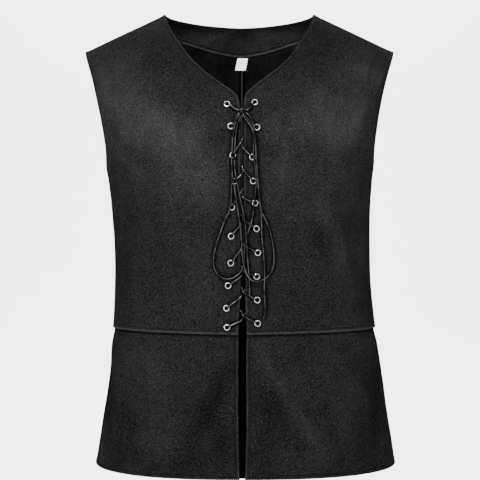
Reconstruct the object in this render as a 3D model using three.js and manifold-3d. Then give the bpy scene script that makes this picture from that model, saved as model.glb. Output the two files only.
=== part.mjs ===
// A sleeveless vest of dark faux suede, laced down the centre front and filled out as worn.
// Millimetres. +X is the viewer's right, -Y the front, +Z up. Left and right are the viewer's.
// The origin lies midway between the shoulders, where a wearer holds the vest up.

import * as THREE from 'three';
import Module from 'manifold-3d';
import { mergeVertices } from 'three/addons/utils/BufferGeometryUtils.js';

// Cloth
const wall = 2;
const seamGap = 0.3;
const sectionPower = 2.35; // a level section's roundness: 2 would be an ellipse
const roll = 2 / sectionPower;

// Heights of the garment's main lines
const neckZ = 30;
const backNeckZ = 26;
const shoulderTipZ = -29;
const neckBottomZ = -128;
const underarmZ = -214;
const sideWaistZ = -451.5;
const frontWaistZ = -455;
const peplumTuck = 5; // the peplum's top edge runs up behind the bodice's lower edge
const tuckFullZ = sideWaistZ - 1.5; // from here up the peplum lies wholly behind the bodice
const tuckEndZ = sideWaistZ - 26;
const hemZ = -658;
const backHemDip = 57.5; // the back hem falls below the side seams towards its middle
const edgeAtUnderarmZ = -190; // where the row through the underarm meets the centre lines
const shoulderBladeZ = -135; // from here up the back's middle leans in towards the neck

// Depths of the rounded shoulder
const frontShoulderDepth = 127;
const backShoulderDepth = 114;
const backNeckDepth = 78;
const shoulderRound = 1.15;

// The armhole is an egg seen from the side.
const armhole = { middleZ: -149, below: 65, above: 120, frontReach: 65, backReach: 60 };

// Level sections of the bodice: half the width, how far its middle leans to the right,
// and how far the front and the back stand out from the side seams.
const bodiceSections = [
  { z: -455, half: 201.0, lean: 3.4, front: 114, back: 100 },
  { z: -384, half: 196.3, lean: 1.3, front: 115, back: 98 },
  { z: -320, half: 195.8, lean: 0.0, front: 120, back: 104 },
  { z: -262, half: 198.6, lean: -1.5, front: 125, back: 112 },
  { z: -214, half: 203.2, lean: -3.1, front: 127, back: 117 },
];

const peplumSections = [
  { z: -446, half: 200.2, lean: 3.1, front: 113.8, back: 99.8 },
  { z: -510, half: 207.4, lean: 5.0, front: 121, back: 105 },
  { z: -591, half: 218.9, lean: 5.5, front: 131, back: 112 },
  { z: -658, half: 228.7, lean: 5.3, front: 140, back: 118 },
];

// Edge lines seen from the front: half the distance between the two edges, and their lean
const armholeEdges = [
  { z: -214, half: 203.2, lean: -3.1 },
  { z: -183, half: 200.5, lean: -3.0 },
  { z: -145, half: 204.7, lean: -3.6 },
  { z: -108, half: 212.4, lean: -4.2 },
  { z: -75, half: 221.3, lean: -4.1 },
  { z: -29, half: 238.0, lean: -3.8 },
];

const frontNeckEdges = [
  { z: -128, half: 2.6, lean: -0.4 },
  { z: -116, half: 3.8, lean: -1.0 },
  { z: -108, half: 7.0, lean: -2.0 },
  { z: -100, half: 15.2, lean: -3.2 },
  { z: -86, half: 32.7, lean: -4.2 },
  { z: -66, half: 56.5, lean: -3.6 },
  { z: -50, half: 71.7, lean: -3.4 },
  { z: -30, half: 85.6, lean: -3.8 },
  { z: -5, half: 101.0, lean: -3.6 },
  { z: 15, half: 110.0, lean: -3.8 },
  { z: 30, half: 113.7, lean: -4.0 },
];

const frontOpening = [
  { z: -658, half: 3.5, lean: 0.2 },
  { z: -629, half: 4.7, lean: 0.4 },
  { z: -588, half: 5.5, lean: 0.3 },
  { z: -468, half: 5.6, lean: 0.3 },
  { z: -447, half: 5.9, lean: 0.7 },
  { z: -428, half: 4.8, lean: 0.4 },
  { z: -401, half: 3.3, lean: 1.0 },
  { z: -374, half: 3.6, lean: 1.6 },
  { z: -346, half: 2.3, lean: 0.0 },
  { z: -240, half: 2.3, lean: 0.0 },
  { z: -150, half: 2.3, lean: 0.0 },
  { z: -128, half: 2.6, lean: -0.4 },
];

// Broad soft folds: a line from top to low, how wide the fold is and how far it lifts.
// A minus lift is a trough. The back's folds are seen from behind, with x to the same side.
const frontFolds = [
  { topX: 116, topZ: -262, lowX: 150, lowZ: -380, width: 13, lift: 2.6 },
  { topX: 92, topZ: -270, lowX: 122, lowZ: -390, width: 16, lift: -2.2 },
  { topX: -118, topZ: -300, lowX: -132, lowZ: -420, width: 18, lift: -2.0 },
  { topX: 30, topZ: -480, lowX: 112, lowZ: -620, width: 17, lift: 3.4 },
  { topX: 62, topZ: -470, lowX: 160, lowZ: -640, width: 18, lift: -3.2 },
  { topX: -60, topZ: -500, lowX: -84, lowZ: -650, width: 20, lift: -3.0 },
  { topX: -116, topZ: -480, lowX: -138, lowZ: -650, width: 20, lift: 3.0 },
  { topX: -176, topZ: -520, lowX: -186, lowZ: -655, width: 16, lift: -3.4 },
  { topX: 186, topZ: -520, lowX: 198, lowZ: -655, width: 16, lift: -3.2 },
];

const backFolds = [
  { topX: -70, topZ: -250, lowX: -96, lowZ: -400, width: 18, lift: 2.6 },
  { topX: 84, topZ: -280, lowX: 110, lowZ: -410, width: 18, lift: -2.4 },
  { topX: 26, topZ: -330, lowX: 40, lowZ: -440, width: 15, lift: 2.0 },
  { topX: -50, topZ: -480, lowX: -70, lowZ: -670, width: 20, lift: 3.6 },
  { topX: -120, topZ: -480, lowX: -150, lowZ: -660, width: 20, lift: -3.4 },
  { topX: 60, topZ: -480, lowX: 84, lowZ: -670, width: 20, lift: -3.2 },
  { topX: 126, topZ: -480, lowX: 156, lowZ: -655, width: 20, lift: 3.4 },
];

// The shares of its line over which a fold rises and dies away
const foldStart = [-0.15, 0.3];
const foldEnd = [0.75, 1.15];

// Metal eyelets, from the waist up
const eyeletRows = [
  { leftX: -21.7, leftZ: -443.6, rightX: 22.3, rightZ: -438.1 },
  { leftX: -22.6, leftZ: -416.2, rightX: 21.7, rightZ: -404.3 },
  { leftX: -20.2, leftZ: -383.8, rightX: 21.0, rightZ: -370.6 },
  { leftX: -16.3, leftZ: -351.0, rightX: 22.6, rightZ: -336.2 },
  { leftX: -15.9, leftZ: -312.3, rightX: 20.6, rightZ: -301.8 },
  { leftX: -14.5, leftZ: -271.0, rightX: 18.5, rightZ: -265.0 },
  { leftX: -11.4, leftZ: -234.2, rightX: 15.7, rightZ: -233.7 },
  { leftX: -13.3, leftZ: -197.0, rightX: 14.7, rightZ: -199.5 },
  { leftX: -16.4, leftZ: -155.3, rightX: 21.1, rightZ: -157.0 },
  { leftX: -21.7, leftZ: -124.1, rightX: 18.0, rightZ: -121.5 },
];
const eyelet = {
  bore: 2.5, barrel: 3.1, flange: 4.5, washer: 4.2, crown: 2.1, rim: 1.6, sides: 10,
  roundBarrel: 0.35, underFlange: 0.4, // the air that keeps it clear of the cloth
};

// The lace and its knot. Lifts are measured out from the middle of the cloth.
const laceRadius = 1.3;
const lacingSides = 6;
const bowSides = 8;
const knot = {
  x: 0, z: -135.5, lift: 8, halfWidth: 6.5, halfDepth: 4.6, halfHeight: 4.6, around: 14, down: 8,
};

// Where a lace from the left and one from the right go through the opening, as shares of the
// way from one row of eyelets to the next
const crossingShares = [
  { left: 0.33, right: 0.56 },
  { left: 0.42, right: 0.63 },
  { left: 0.31, right: 0.54 },
  { left: 0.42, right: 0.62 },
  { left: 0.37, right: 0.57 },
  { left: 0.61, right: 0.40 },
  { left: 0.33, right: 0.53 },
  { left: 0.54, right: 0.34 },
  { left: 0.38, right: 0.59 },
];

// How the lace leaves an eyelet, and how high it runs half way along the cloth
const laceTurn = [
  { distance: 0, lift: 2.0 },
  { distance: 1.4, lift: 3.5 },
  { distance: 4.4, lift: 3.65 },
];
const laceClear = laceTurn[laceTurn.length - 1];
const laceRunLift = 2.9;

// The lace through the opening, from its own front's side to behind the other front
const laceCrossing = [
  { out: 2.1, above: -3.5, lift: 2.85 },
  { out: 0.5, above: -1.6, lift: 1.8 },
  { out: 0, above: 0, lift: 0 },
  { out: -0.5, above: 1.6, lift: -1.8 },
  { out: -2.1, above: 3.5, lift: -2.85 },
];

// The lace from the top pair of eyelets into the knot
const laceToKnot = [
  { out: 9.4, above: 3.6, lift: 5.6 },
  { out: 4, above: 1.4, lift: 7.6 },
];

// The free cords of the bow: x, z and lift
const bowLoopLeftRoute = [
  [-4.5, -137.8, 7.0], [-8.6, -142.4, 6.6], [-11.6, -150.3, 6.3], [-13.1, -168.8, 6.3],
  [-13.9, -190.0, 6.3], [-14.8, -211.4, 6.3], [-14.9, -237.0, 6.3], [-15.5, -258.0, 6.3],
  [-18.4, -276.0, 6.3], [-23.4, -286.0, 6.3], [-27.5, -296.0, 6.3], [-31.8, -308.5, 6.3],
  [-36.0, -321.0, 6.3], [-38.8, -332.5, 6.4], [-40.5, -344.0, 6.5], [-40.2, -354.0, 6.6],
  [-37.4, -362.0, 6.8], [-32.0, -368.6, 7.0], [-24.6, -372.6, 7.0], [-16.4, -373.0, 6.8],
  [-8.8, -369.4, 6.6], [-2.0, -362.4, 6.5], [2.0, -353.5, 6.4], [3.0, -342.0, 6.3],
  [3.2, -330.0, 6.3], [4.4, -319.5, 6.3], [7.6, -308.5, 6.3], [11.6, -296.0, 6.3],
  [14.6, -285.0, 6.3], [16.4, -272.0, 6.3], [18.2, -257.5, 6.3], [19.5, -243.0, 6.3],
  [19.9, -229.0, 6.3], [18.6, -214.0, 6.3], [16.4, -199.0, 6.3], [16.0, -184.0, 6.3],
  [16.6, -169.0, 6.3], [14.6, -157.0, 6.3], [8.6, -146.2, 6.4], [3.2, -139.4, 6.8],
];

const bowLoopRightRoute = [
  [5.2, -137.6, 7.8], [10.6, -142.4, 8.8], [14.8, -151.5, 9.1], [17.6, -166.0, 9.1],
  [18.8, -183.0, 9.1], [19.4, -201.0, 9.1], [20.9, -226.0, 9.1], [22.6, -248.0, 9.1],
  [25.0, -266.0, 9.1], [28.6, -279.5, 8.7], [33.4, -289.0, 8.0], [37.4, -299.0, 7.4],
  [40.6, -309.5, 7.0], [42.8, -320.0, 7.0], [44.5, -331.0, 7.0], [45.0, -342.0, 7.0],
  [44.2, -352.0, 7.0], [41.8, -361.0, 7.2], [37.4, -368.4, 7.6], [31.0, -373.6, 8.2],
  [23.6, -376.4, 8.8], [16.6, -376.0, 9.2], [11.0, -372.3, 9.3], [6.6, -366.0, 9.3],
  [3.4, -357.5, 9.3], [1.0, -346.0, 9.2], [-0.6, -331.0, 9.1], [-1.0, -316.0, 9.1],
  [-2.2, -300.0, 9.1], [-5.0, -282.5, 9.1], [-7.8, -264.0, 9.1], [-10.8, -243.0, 9.1],
  [-13.3, -227.0, 9.1], [-14.7, -211.0, 9.1], [-14.5, -194.0, 9.1], [-13.4, -176.0, 9.1],
  [-11.2, -159.0, 9.1], [-8.0, -147.0, 9.3], [-4.0, -139.4, 9.9],
];

const bowTailRightRoute = [
  [1.2, -139.4, 10.8], [4.8, -146.0, 11.9], [9.8, -153.0, 12.0], [14.6, -162.0, 11.9],
  [17.6, -175.0, 11.9], [19.0, -192.0, 11.9], [20.4, -212.0, 11.9], [21.9, -232.0, 11.9],
  [23.6, -252.0, 11.9], [25.6, -268.0, 11.9], [26.8, -282.0, 11.4], [27.3, -296.0, 10.6],
  [27.6, -310.0, 10.1], [28.8, -324.0, 10.0], [30.2, -338.0, 10.3], [31.2, -353.0, 10.9],
  [31.6, -368.0, 11.3], [31.0, -382.0, 10.7], [31.5, -395.0, 9.7], [32.4, -408.5, 8.8],
  [32.2, -421.0, 8.2], [30.2, -429.5, 7.8],
];

const bowTailLeftRoute = [
  [-0.6, -139.6, 7.2], [-3.6, -146.0, 6.6], [-7.2, -156.0, 6.3], [-9.4, -170.0, 6.3],
  [-10.4, -188.0, 6.3], [-11.0, -206.0, 6.3], [-9.8, -222.0, 6.4], [-7.6, -235.0, 6.7],
  [-4.8, -249.0, 7.1], [-1.4, -265.0, 7.8], [2.2, -281.0, 8.7], [4.6, -297.0, 9.2],
  [5.9, -312.0, 9.3], [6.8, -327.0, 9.0], [7.6, -341.0, 8.0], [8.6, -354.5, 6.9],
  [9.6, -367.0, 6.3], [10.4, -380.0, 6.2], [10.6, -396.5, 6.0],
];

// The facing inside the back neck, and the bare label under it
const facing = {
  thickness: 1.2, middleDrop: 43, seamWidth: 36, across: 24, columnShare: 0.5, rowsOverUnderarm: 6,
};
const label = {
  width: 17.5, height: 19, thickness: 1, topX: 1.5, skew: -4, dropBelowFacing: 1, across: 2, down: 2,
};

// How finely the cloth is divided
const columns = 12;
const lowerRows = 7;
const armholeRows = 12;
const backBladeRows = 5;
const backLeanRows = 4;
const backNeckRows = 7;
const peplumRows = 6;

const finishes = {
  suede: new THREE.MeshStandardMaterial({ color: 0x2b2b2b, roughness: 0.92, metalness: 0 }),
  inside: new THREE.MeshStandardMaterial({ color: 0x1b1b1b, roughness: 0.95, metalness: 0 }),
  metal: new THREE.MeshStandardMaterial({ color: 0xc9c9c9, roughness: 0.28, metalness: 1 }),
  lace: new THREE.MeshStandardMaterial({ color: 0x151515, roughness: 0.55, metalness: 0 }),
  label: new THREE.MeshStandardMaterial({ color: 0xf2f2f0, roughness: 0.8, metalness: 0 }),
};

const wasm = await Module();
wasm.setup();

const mix = (from, to, share) => from + (to - from) * share;
const clamp = (value, low, high) => Math.min(Math.max(value, low), high);

// Reads one column of a table at any z, on a smooth curve through its rows.
function column(rows, z, name) {
  const sorted = rows[0].z < rows[rows.length - 1].z ? rows : [...rows].reverse();
  const last = sorted.length - 1;
  const at = clamp(z, sorted[0].z, sorted[last].z);
  let index = 0;
  while (index < last - 1 && at > sorted[index + 1].z) {
    index += 1;
  }
  const rise = (i) => (sorted[i + 1][name] - sorted[i][name]) / (sorted[i + 1].z - sorted[i].z);
  const slope = (i) => {
    if (i === 0) return rise(0);
    if (i === last) return rise(last - 1);
    return (rise(i - 1) + rise(i)) / 2;
  };
  const span = sorted[index + 1].z - sorted[index].z;
  const t = (at - sorted[index].z) / span;
  const curve = new THREE.Vector4(2 * t ** 3 - 3 * t ** 2 + 1, t ** 3 - 2 * t ** 2 + t,
    3 * t ** 2 - 2 * t ** 3, t ** 3 - t ** 2);
  return curve.dot(new THREE.Vector4(sorted[index][name], slope(index) * span,
    sorted[index + 1][name], slope(index + 1) * span));
}

const edgeX = (rows, z, side) => column(rows, z, 'half') + side * column(rows, z, 'lean');

// A row of cloth runs from the centre line to the side seam, the armhole or the shoulder tip.
// share is how far forward the outer end stands, as a part of the row's depth.
// rise goes from 0 at the waist, past 1 at the underarm, to 2 at the shoulder seam.
function bodiceRow(face, side, rise) {
  const depthName = face < 0 ? 'front' : 'back';
  const waistZ = face < 0 ? frontWaistZ : sideWaistZ;
  if (rise <= 1) {
    const outerZ = mix(sideWaistZ, underarmZ, rise);
    const innerZ = mix(waistZ, edgeAtUnderarmZ, rise);
    return {
      innerX: face < 0 ? edgeX(frontOpening, innerZ, side) : seamGap / 2,
      innerZ,
      outerX: edgeX(bodiceSections, outerZ, side),
      outerZ,
      depth: column(bodiceSections, outerZ, depthName),
      share: 0,
    };
  }
  const turn = Math.PI * (rise - 1) - Math.PI / 2;
  const upper = turn > 0;
  const outerZ = armhole.middleZ + Math.sin(turn) * (upper ? armhole.above : armhole.below);
  const shoulder = Math.max(Math.cos(turn), 0) ** (upper ? shoulderRound : 1);
  const fullDepth = face < 0 ? frontShoulderDepth : backShoulderDepth;
  const chest = column(bodiceSections, underarmZ, depthName);
  const lowDepth = mix(chest, fullDepth, clamp(1 + turn / (Math.PI / 2), 0, 1));
  const reach = (face < 0 ? armhole.frontReach : armhole.backReach) / fullDepth;
  const row = {
    outerX: edgeX(armholeEdges, outerZ, side),
    outerZ,
    depth: upper ? fullDepth * shoulder : lowDepth,
    share: upper ? reach : reach * shoulder,
  };
  return Object.assign(row, face < 0 ? frontInner(side, turn) : backInner(side, turn, row.depth));
}

// The front row's inner end climbs the centre-front edge, then the V of the neck.
function frontInner(side, turn) {
  if (turn <= 0) {
    const innerZ = mix(edgeAtUnderarmZ, neckBottomZ, 1 + turn / (Math.PI / 2));
    return { innerZ, innerX: edgeX(frontOpening, innerZ, side) };
  }
  const innerZ = mix(neckBottomZ, neckZ, Math.sin(turn) ** 2);
  return { innerZ, innerX: edgeX(frontNeckEdges, innerZ, side) };
}

// The armhole angle of the back's row whose middle depth is this share of the back neck's
function backNeckTurn(share) {
  return Math.acos((share * backNeckDepth / backShoulderDepth) ** (1 / shoulderRound));
}

// The back row's inner end climbs the centre-back seam, then runs round the back neck.
function backInner(side, turn, depth) {
  if (turn <= 0) {
    const innerZ = mix(edgeAtUnderarmZ, shoulderBladeZ, 1 + turn / (Math.PI / 2));
    return { innerZ, innerX: seamGap / 2 };
  }
  if (depth >= backNeckDepth) {
    const leanIn = (backShoulderDepth - depth) / (backShoulderDepth - backNeckDepth);
    return { innerZ: mix(shoulderBladeZ, backNeckZ, Math.sqrt(leanIn)), innerX: seamGap / 2 };
  }
  const round = Math.sqrt(Math.max(1 - (depth / backNeckDepth) ** 2, 0));
  const neckHalf = edgeX(frontNeckEdges, neckZ, side);
  return { innerZ: mix(backNeckZ, neckZ, round), innerX: Math.max(neckHalf * round, seamGap / 2) };
}

// rise goes from 0 at the hem to 1 at the top edge, tucked behind the bodice.
function peplumRow(face, side, rise) {
  const waistZ = face < 0 ? frontWaistZ : sideWaistZ;
  const innerZ = mix(hemZ, waistZ + peplumTuck, rise);
  const outerZ = mix(hemZ, sideWaistZ + peplumTuck, rise);
  const tuck = (wall + 2 * seamGap) * THREE.MathUtils.smoothstep(outerZ, tuckEndZ, tuckFullZ);
  return {
    innerX: face < 0 ? edgeX(frontOpening, innerZ, side) : seamGap / 2,
    innerZ,
    outerX: edgeX(peplumSections, outerZ, side) - tuck,
    outerZ,
    depth: column(peplumSections, outerZ, face < 0 ? 'front' : 'back') - tuck,
    share: 0,
    dip: face < 0 ? 0 : backHemDip * (1 - rise),
  };
}

// The angles and half width of a row's rounded section
function sectionOf(row) {
  const outerAngle = Math.acos(row.share ** (1 / roll));
  const halfWidth = row.outerX / Math.sin(outerAngle) ** roll;
  const innerX = row.innerX <= seamGap / 2 ? row.seamX ?? row.innerX : row.innerX;
  const innerAngle = Math.asin(clamp(innerX / halfWidth, 0, 1) ** (1 / roll));
  return { outerAngle, halfWidth, innerAngle };
}

function rowHeight(row, x, angle) {
  const level = mix(row.innerZ, row.outerZ, (x - row.innerX) / (row.outerX - row.innerX));
  return level - (row.dip ?? 0) * Math.cos(angle) ** 2;
}

// A point on the middle of the cloth; across goes from the centre line, 0, to the outer end, 1.
function clothPoint(piece, rise, across) {
  const row = piece.row(piece.face, piece.side, rise);
  const { outerAngle, halfWidth, innerAngle } = sectionOf(row);
  const angle = mix(innerAngle, outerAngle, across);
  const x = halfWidth * Math.max(Math.sin(angle), 0) ** roll;
  const y = row.depth * Math.max(Math.cos(angle), 0) ** roll + seamGap / 2;
  return new THREE.Vector3(piece.side * x, piece.face * y, rowHeight(row, x, angle));
}

function foldLift(piece, point) {
  const folds = piece.face < 0 ? frontFolds : backFolds;
  return folds.reduce((sum, fold) => {
    const top = new THREE.Vector2(fold.topX, fold.topZ);
    const low = new THREE.Vector2(fold.lowX, fold.lowZ);
    const run = low.clone().sub(top);
    const from = new THREE.Vector2(point.x, point.z).sub(top);
    const along = from.dot(run) / run.lengthSq();
    const away = from.sub(run.multiplyScalar(clamp(along, 0, 1))).length() / fold.width;
    const fade = THREE.MathUtils.smoothstep(along, ...foldStart)
      * (1 - THREE.MathUtils.smoothstep(along, ...foldEnd));
    return sum + fold.lift * Math.exp(-away * away) * fade;
  }, 0);
}

// A point of the cloth and the way out from it, with the folds raised
function clothFrame(piece, rise, across) {
  const step = 0.004;
  const backRise = clamp(rise - step, 0, piece.topRise - 2 * step);
  const backAcross = clamp(across - step, 0, 1 - 2 * step);
  const up = clothPoint(piece, backRise + 2 * step, across).sub(clothPoint(piece, backRise, across));
  const out = clothPoint(piece, rise, backAcross + 2 * step).sub(clothPoint(piece, rise, backAcross));
  const normal = up.cross(out).normalize().multiplyScalar(piece.face * piece.side);
  if (across === 0 && piece.row(piece.face, piece.side, rise).innerX <= seamGap / 2) {
    normal.setX(0).normalize(); // both halves meet the centre-back seam squarely
  }
  const point = clothPoint(piece, rise, across);
  point.addScaledVector(normal, foldLift(piece, point));
  return { point, normal };
}

const moved = (frame, lift) => frame.point.clone().addScaledVector(frame.normal, lift);

// A closed wall between two grids of points with the same rows and columns. The first grid
// is the outer one, and flip turns the faces of pieces that run the other way round.
function wallBetween(outer, inner, flip) {
  const rows = outer.length;
  const cols = outer[0].length;
  const positions = [];
  const quad = (a, b, c, d) => {
    const corners = flip ? [a, d, c, b] : [a, b, c, d];
    [0, 1, 2, 0, 2, 3].forEach((corner) => positions.push(...corners[corner].toArray()));
  };
  for (let i = 0; i < rows - 1; i += 1) {
    for (let j = 0; j < cols - 1; j += 1) {
      quad(outer[i][j], outer[i][j + 1], outer[i + 1][j + 1], outer[i + 1][j]);
      quad(inner[i][j], inner[i + 1][j], inner[i + 1][j + 1], inner[i][j + 1]);
    }
    quad(outer[i][0], outer[i + 1][0], inner[i + 1][0], inner[i][0]);
    quad(outer[i + 1][cols - 1], outer[i][cols - 1], inner[i][cols - 1], inner[i + 1][cols - 1]);
  }
  for (let j = 0; j < cols - 1; j += 1) {
    quad(outer[0][j + 1], outer[0][j], inner[0][j], inner[0][j + 1]);
    const top = rows - 1;
    quad(outer[top][j], outer[top][j + 1], inner[top][j + 1], inner[top][j]);
  }
  return closedGeometry(positions);
}

function closedGeometry(positions) {
  const geometry = new THREE.BufferGeometry();
  geometry.setAttribute('position', new THREE.Float32BufferAttribute(positions, 3));
  return mergeVertices(geometry, 1e-4);
}

function evenly(from, to, parts) {
  return Array.from({ length: parts + 1 }, (_, i) => mix(from, to, i / parts));
}

const gridOf = (piece, rises) => rises.map((rise) => evenly(0, 1, columns)
  .map((across) => clothFrame(piece, rise, across)));

function clothPanel(piece, rises) {
  const frames = gridOf(piece, rises);
  const outer = frames.map((row) => row.map((frame) => moved(frame, wall / 2)));
  const inner = frames.map((row) => row.map((frame) => moved(frame, -wall / 2)));
  return wallBetween(outer, inner, piece.face * piece.side > 0);
}

const riseAt = (turn) => 1.5 + turn / Math.PI;
const roundNeck = (share) => riseAt(backNeckTurn(Math.cos(share * Math.PI / 2)));
const frontRises = [...evenly(0, 1, lowerRows), ...evenly(1, 2, armholeRows).slice(1)];
const backRises = [
  ...evenly(0, 1, lowerRows),
  ...evenly(1, riseAt(0), backBladeRows).slice(1),
  ...evenly(riseAt(0), roundNeck(0), backLeanRows).slice(1),
  ...evenly(0, 1, backNeckRows).slice(1).map(roundNeck),
];
const bodicePiece = (face, side) => ({ face, side, row: bodiceRow, topRise: 2 });
const peplumTopZ = sideWaistZ + peplumTuck;
const peplumRises = [...evenly(0, (tuckEndZ - hemZ) / (peplumTopZ - hemZ), peplumRows),
  (tuckFullZ - hemZ) / (peplumTopZ - hemZ), 1];
const peplumPiece = (face, side) => ({ face, side, row: peplumRow, topRise: 1 });

// The rise and the share across of the place on the bodice that is seen at x and z
function bodiceSpot(face, x, z) {
  const piece = bodicePiece(face, x < 0 ? -1 : 1);
  const seenX = Math.abs(x);
  let low = 0;
  let high = 2;
  for (let step = 0; step < 40; step += 1) {
    const middle = (low + high) / 2;
    if (rowHeight(bodiceRow(face, piece.side, middle), seenX, 0) < z) {
      low = middle;
    } else {
      high = middle;
    }
  }
  const { outerAngle, halfWidth, innerAngle } = sectionOf(bodiceRow(face, piece.side, low));
  const angle = Math.asin(clamp(seenX / halfWidth, 0, 1) ** (1 / roll));
  return { piece, rise: low, across: (angle - innerAngle) / (outerAngle - innerAngle) };
}

function frontPlace(x, z) {
  const { piece, rise, across } = bodiceSpot(-1, x, z);
  return clothFrame(piece, rise, across);
}

const backGrids = {
  '-1': gridOf(bodicePiece(1, -1), backRises),
  1: gridOf(bodicePiece(1, 1), backRises),
};

// A point on the flat faces of a back, so that what lies against them stays clear of them
function backPoint(x, z, lift) {
  const spot = bodiceSpot(1, x, z);
  const grid = backGrids[spot.piece.side];
  const i = clamp(backRises.findLastIndex((rise) => rise <= spot.rise), 0, backRises.length - 2);
  const j = clamp(Math.floor(spot.across * columns), 0, columns - 1);
  const up = (spot.rise - backRises[i]) / (backRises[i + 1] - backRises[i]);
  const over = clamp(spot.across * columns - j, 0, 1);
  const near = moved(grid[i][j], lift);
  const far = moved(grid[i + 1][j + 1], lift);
  const corner = over > up ? moved(grid[i][j + 1], lift) : moved(grid[i + 1][j], lift);
  const [first, second] = over > up ? [over, up] : [up, over];
  return near.clone().addScaledVector(corner.clone().sub(near), first)
    .addScaledVector(far.sub(corner), second);
}

const frontSpot = (x, z, lift) => moved(frontPlace(x, z), lift);

const asSolid = (geometry) => {
  const bare = geometry.clone();
  bare.deleteAttribute('normal');
  bare.deleteAttribute('uv');
  const merged = mergeVertices(bare, 1e-4);
  return new wasm.Manifold(new wasm.Mesh({
    numProp: 3,
    vertProperties: new Float32Array(merged.attributes.position.array),
    triVerts: new Uint32Array(merged.index.array),
  }));
};

const asGeometry = (solid) => {
  const mesh = solid.getMesh();
  const geometry = new THREE.BufferGeometry();
  geometry.setAttribute('position', new THREE.BufferAttribute(mesh.vertProperties, 3));
  geometry.setIndex(new THREE.BufferAttribute(mesh.triVerts, 1));
  return geometry;
};

const eyeletPlaces = eyeletRows.map((row) => ({
  left: frontPlace(row.leftX, row.leftZ),
  right: frontPlace(row.rightX, row.rightZ),
}));

// Turns a shape made about +Y so that +Y points out of the cloth, and sets it there.
function setOnCloth(geometry, frame) {
  const turn = new THREE.Quaternion().setFromUnitVectors(new THREE.Vector3(0, 1, 0), frame.normal);
  return geometry.applyQuaternion(turn).translate(...frame.point.toArray());
}

function eyeletGeometry(frame) {
  const { bore, barrel, flange, washer, crown, rim, sides } = eyelet;
  const under = wall / 2 + eyelet.underFlange;
  const profile = [
    [bore, -crown], [washer, -rim], [barrel, -under], [barrel, under], [flange, rim], [bore, crown],
    [bore, -crown],
  ];
  const points = profile.map(([radius, height]) => new THREE.Vector2(radius, height));
  return setOnCloth(new THREE.LatheGeometry(points, sides), frame);
}

function eyeletHole(frame) {
  const radius = eyelet.barrel + eyelet.roundBarrel;
  return setOnCloth(new THREE.CylinderGeometry(radius, radius, 3 * wall, eyelet.sides), frame);
}

function frontPanel(side) {
  const panel = clothPanel(bodicePiece(-1, side), frontRises);
  const places = eyeletPlaces.map((place) => (side < 0 ? place.left : place.right));
  const pierced = places.reduce((solid, frame) => solid.subtract(asSolid(eyeletHole(frame))),
    asSolid(panel));
  return asGeometry(pierced);
}

// A round tube whose rings stand on the given points
function tubeThrough(points, radius, sides) {
  const last = points.length - 1;
  const tangents = points.map((_, i) => points[Math.min(i + 1, last)].clone()
    .sub(points[Math.max(i - 1, 0)]).normalize());
  let across = new THREE.Vector3(0, 0, 1).cross(tangents[0]).normalize();
  const rings = points.map((point, i) => {
    across = across.addScaledVector(tangents[i], -across.dot(tangents[i])).normalize();
    const other = tangents[i].clone().cross(across);
    return Array.from({ length: sides }, (_, k) => {
      const angle = (2 * Math.PI * k) / sides;
      return point.clone().addScaledVector(across, radius * Math.cos(angle))
        .addScaledVector(other, radius * Math.sin(angle));
    });
  });
  const positions = [];
  const face = (...corners) => corners.forEach((corner) => positions.push(...corner.toArray()));
  for (let k = 0; k < sides; k += 1) {
    const next = (k + 1) % sides;
    for (let i = 0; i < last; i += 1) {
      face(rings[i][k], rings[i][next], rings[i + 1][next]);
      face(rings[i][k], rings[i + 1][next], rings[i + 1][k]);
    }
    face(points[0], rings[0][next], rings[0][k]);
    face(points[last], rings[last][k], rings[last][next]);
  }
  return closedGeometry(positions);
}

const cordSection = (radius, sides) => new THREE.Shape(Array.from({ length: sides }, (_, k) => {
  const angle = (2 * Math.PI * k) / sides;
  return new THREE.Vector2(radius * Math.cos(angle), radius * Math.sin(angle));
}));

function freeCord(route, steps) {
  const path = new THREE.CatmullRomCurve3(route.map(([x, z, lift]) => frontSpot(x, z, lift)));
  return new THREE.ExtrudeGeometry(cordSection(laceRadius, bowSides),
    { steps, extrudePath: path, bevelEnabled: false });
}

// The lace from one eyelet half way towards another spot, over the cloth or, with sign -1, behind it
function runFrom(start, end, sign) {
  const from = new THREE.Vector2(...start);
  const way = new THREE.Vector2(...end).sub(from);
  const half = { distance: (way.length() + laceClear.distance) / 2, lift: laceRunLift };
  way.normalize();
  return [...laceTurn, half].map(({ distance, lift }) => frontSpot(from.x + way.x * distance,
    from.y + way.y * distance, sign * lift));
}

// One row of lacing: out of an eyelet, over its own front's edge, through the opening, and
// behind the other front to the next eyelet
function lacingRung(start, end, crossZ) {
  const own = Math.sign(start[0]);
  const spots = laceCrossing.map(({ out, above, lift }) => [own * out, crossZ + above, lift]);
  const first = spots[0];
  const last = spots[spots.length - 1];
  return [
    frontSpot(...start, 0),
    ...runFrom(start, first, 1),
    ...spots.map((spot) => frontSpot(...spot)),
    ...runFrom(end, last, -1).reverse(),
  ];
}

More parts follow.
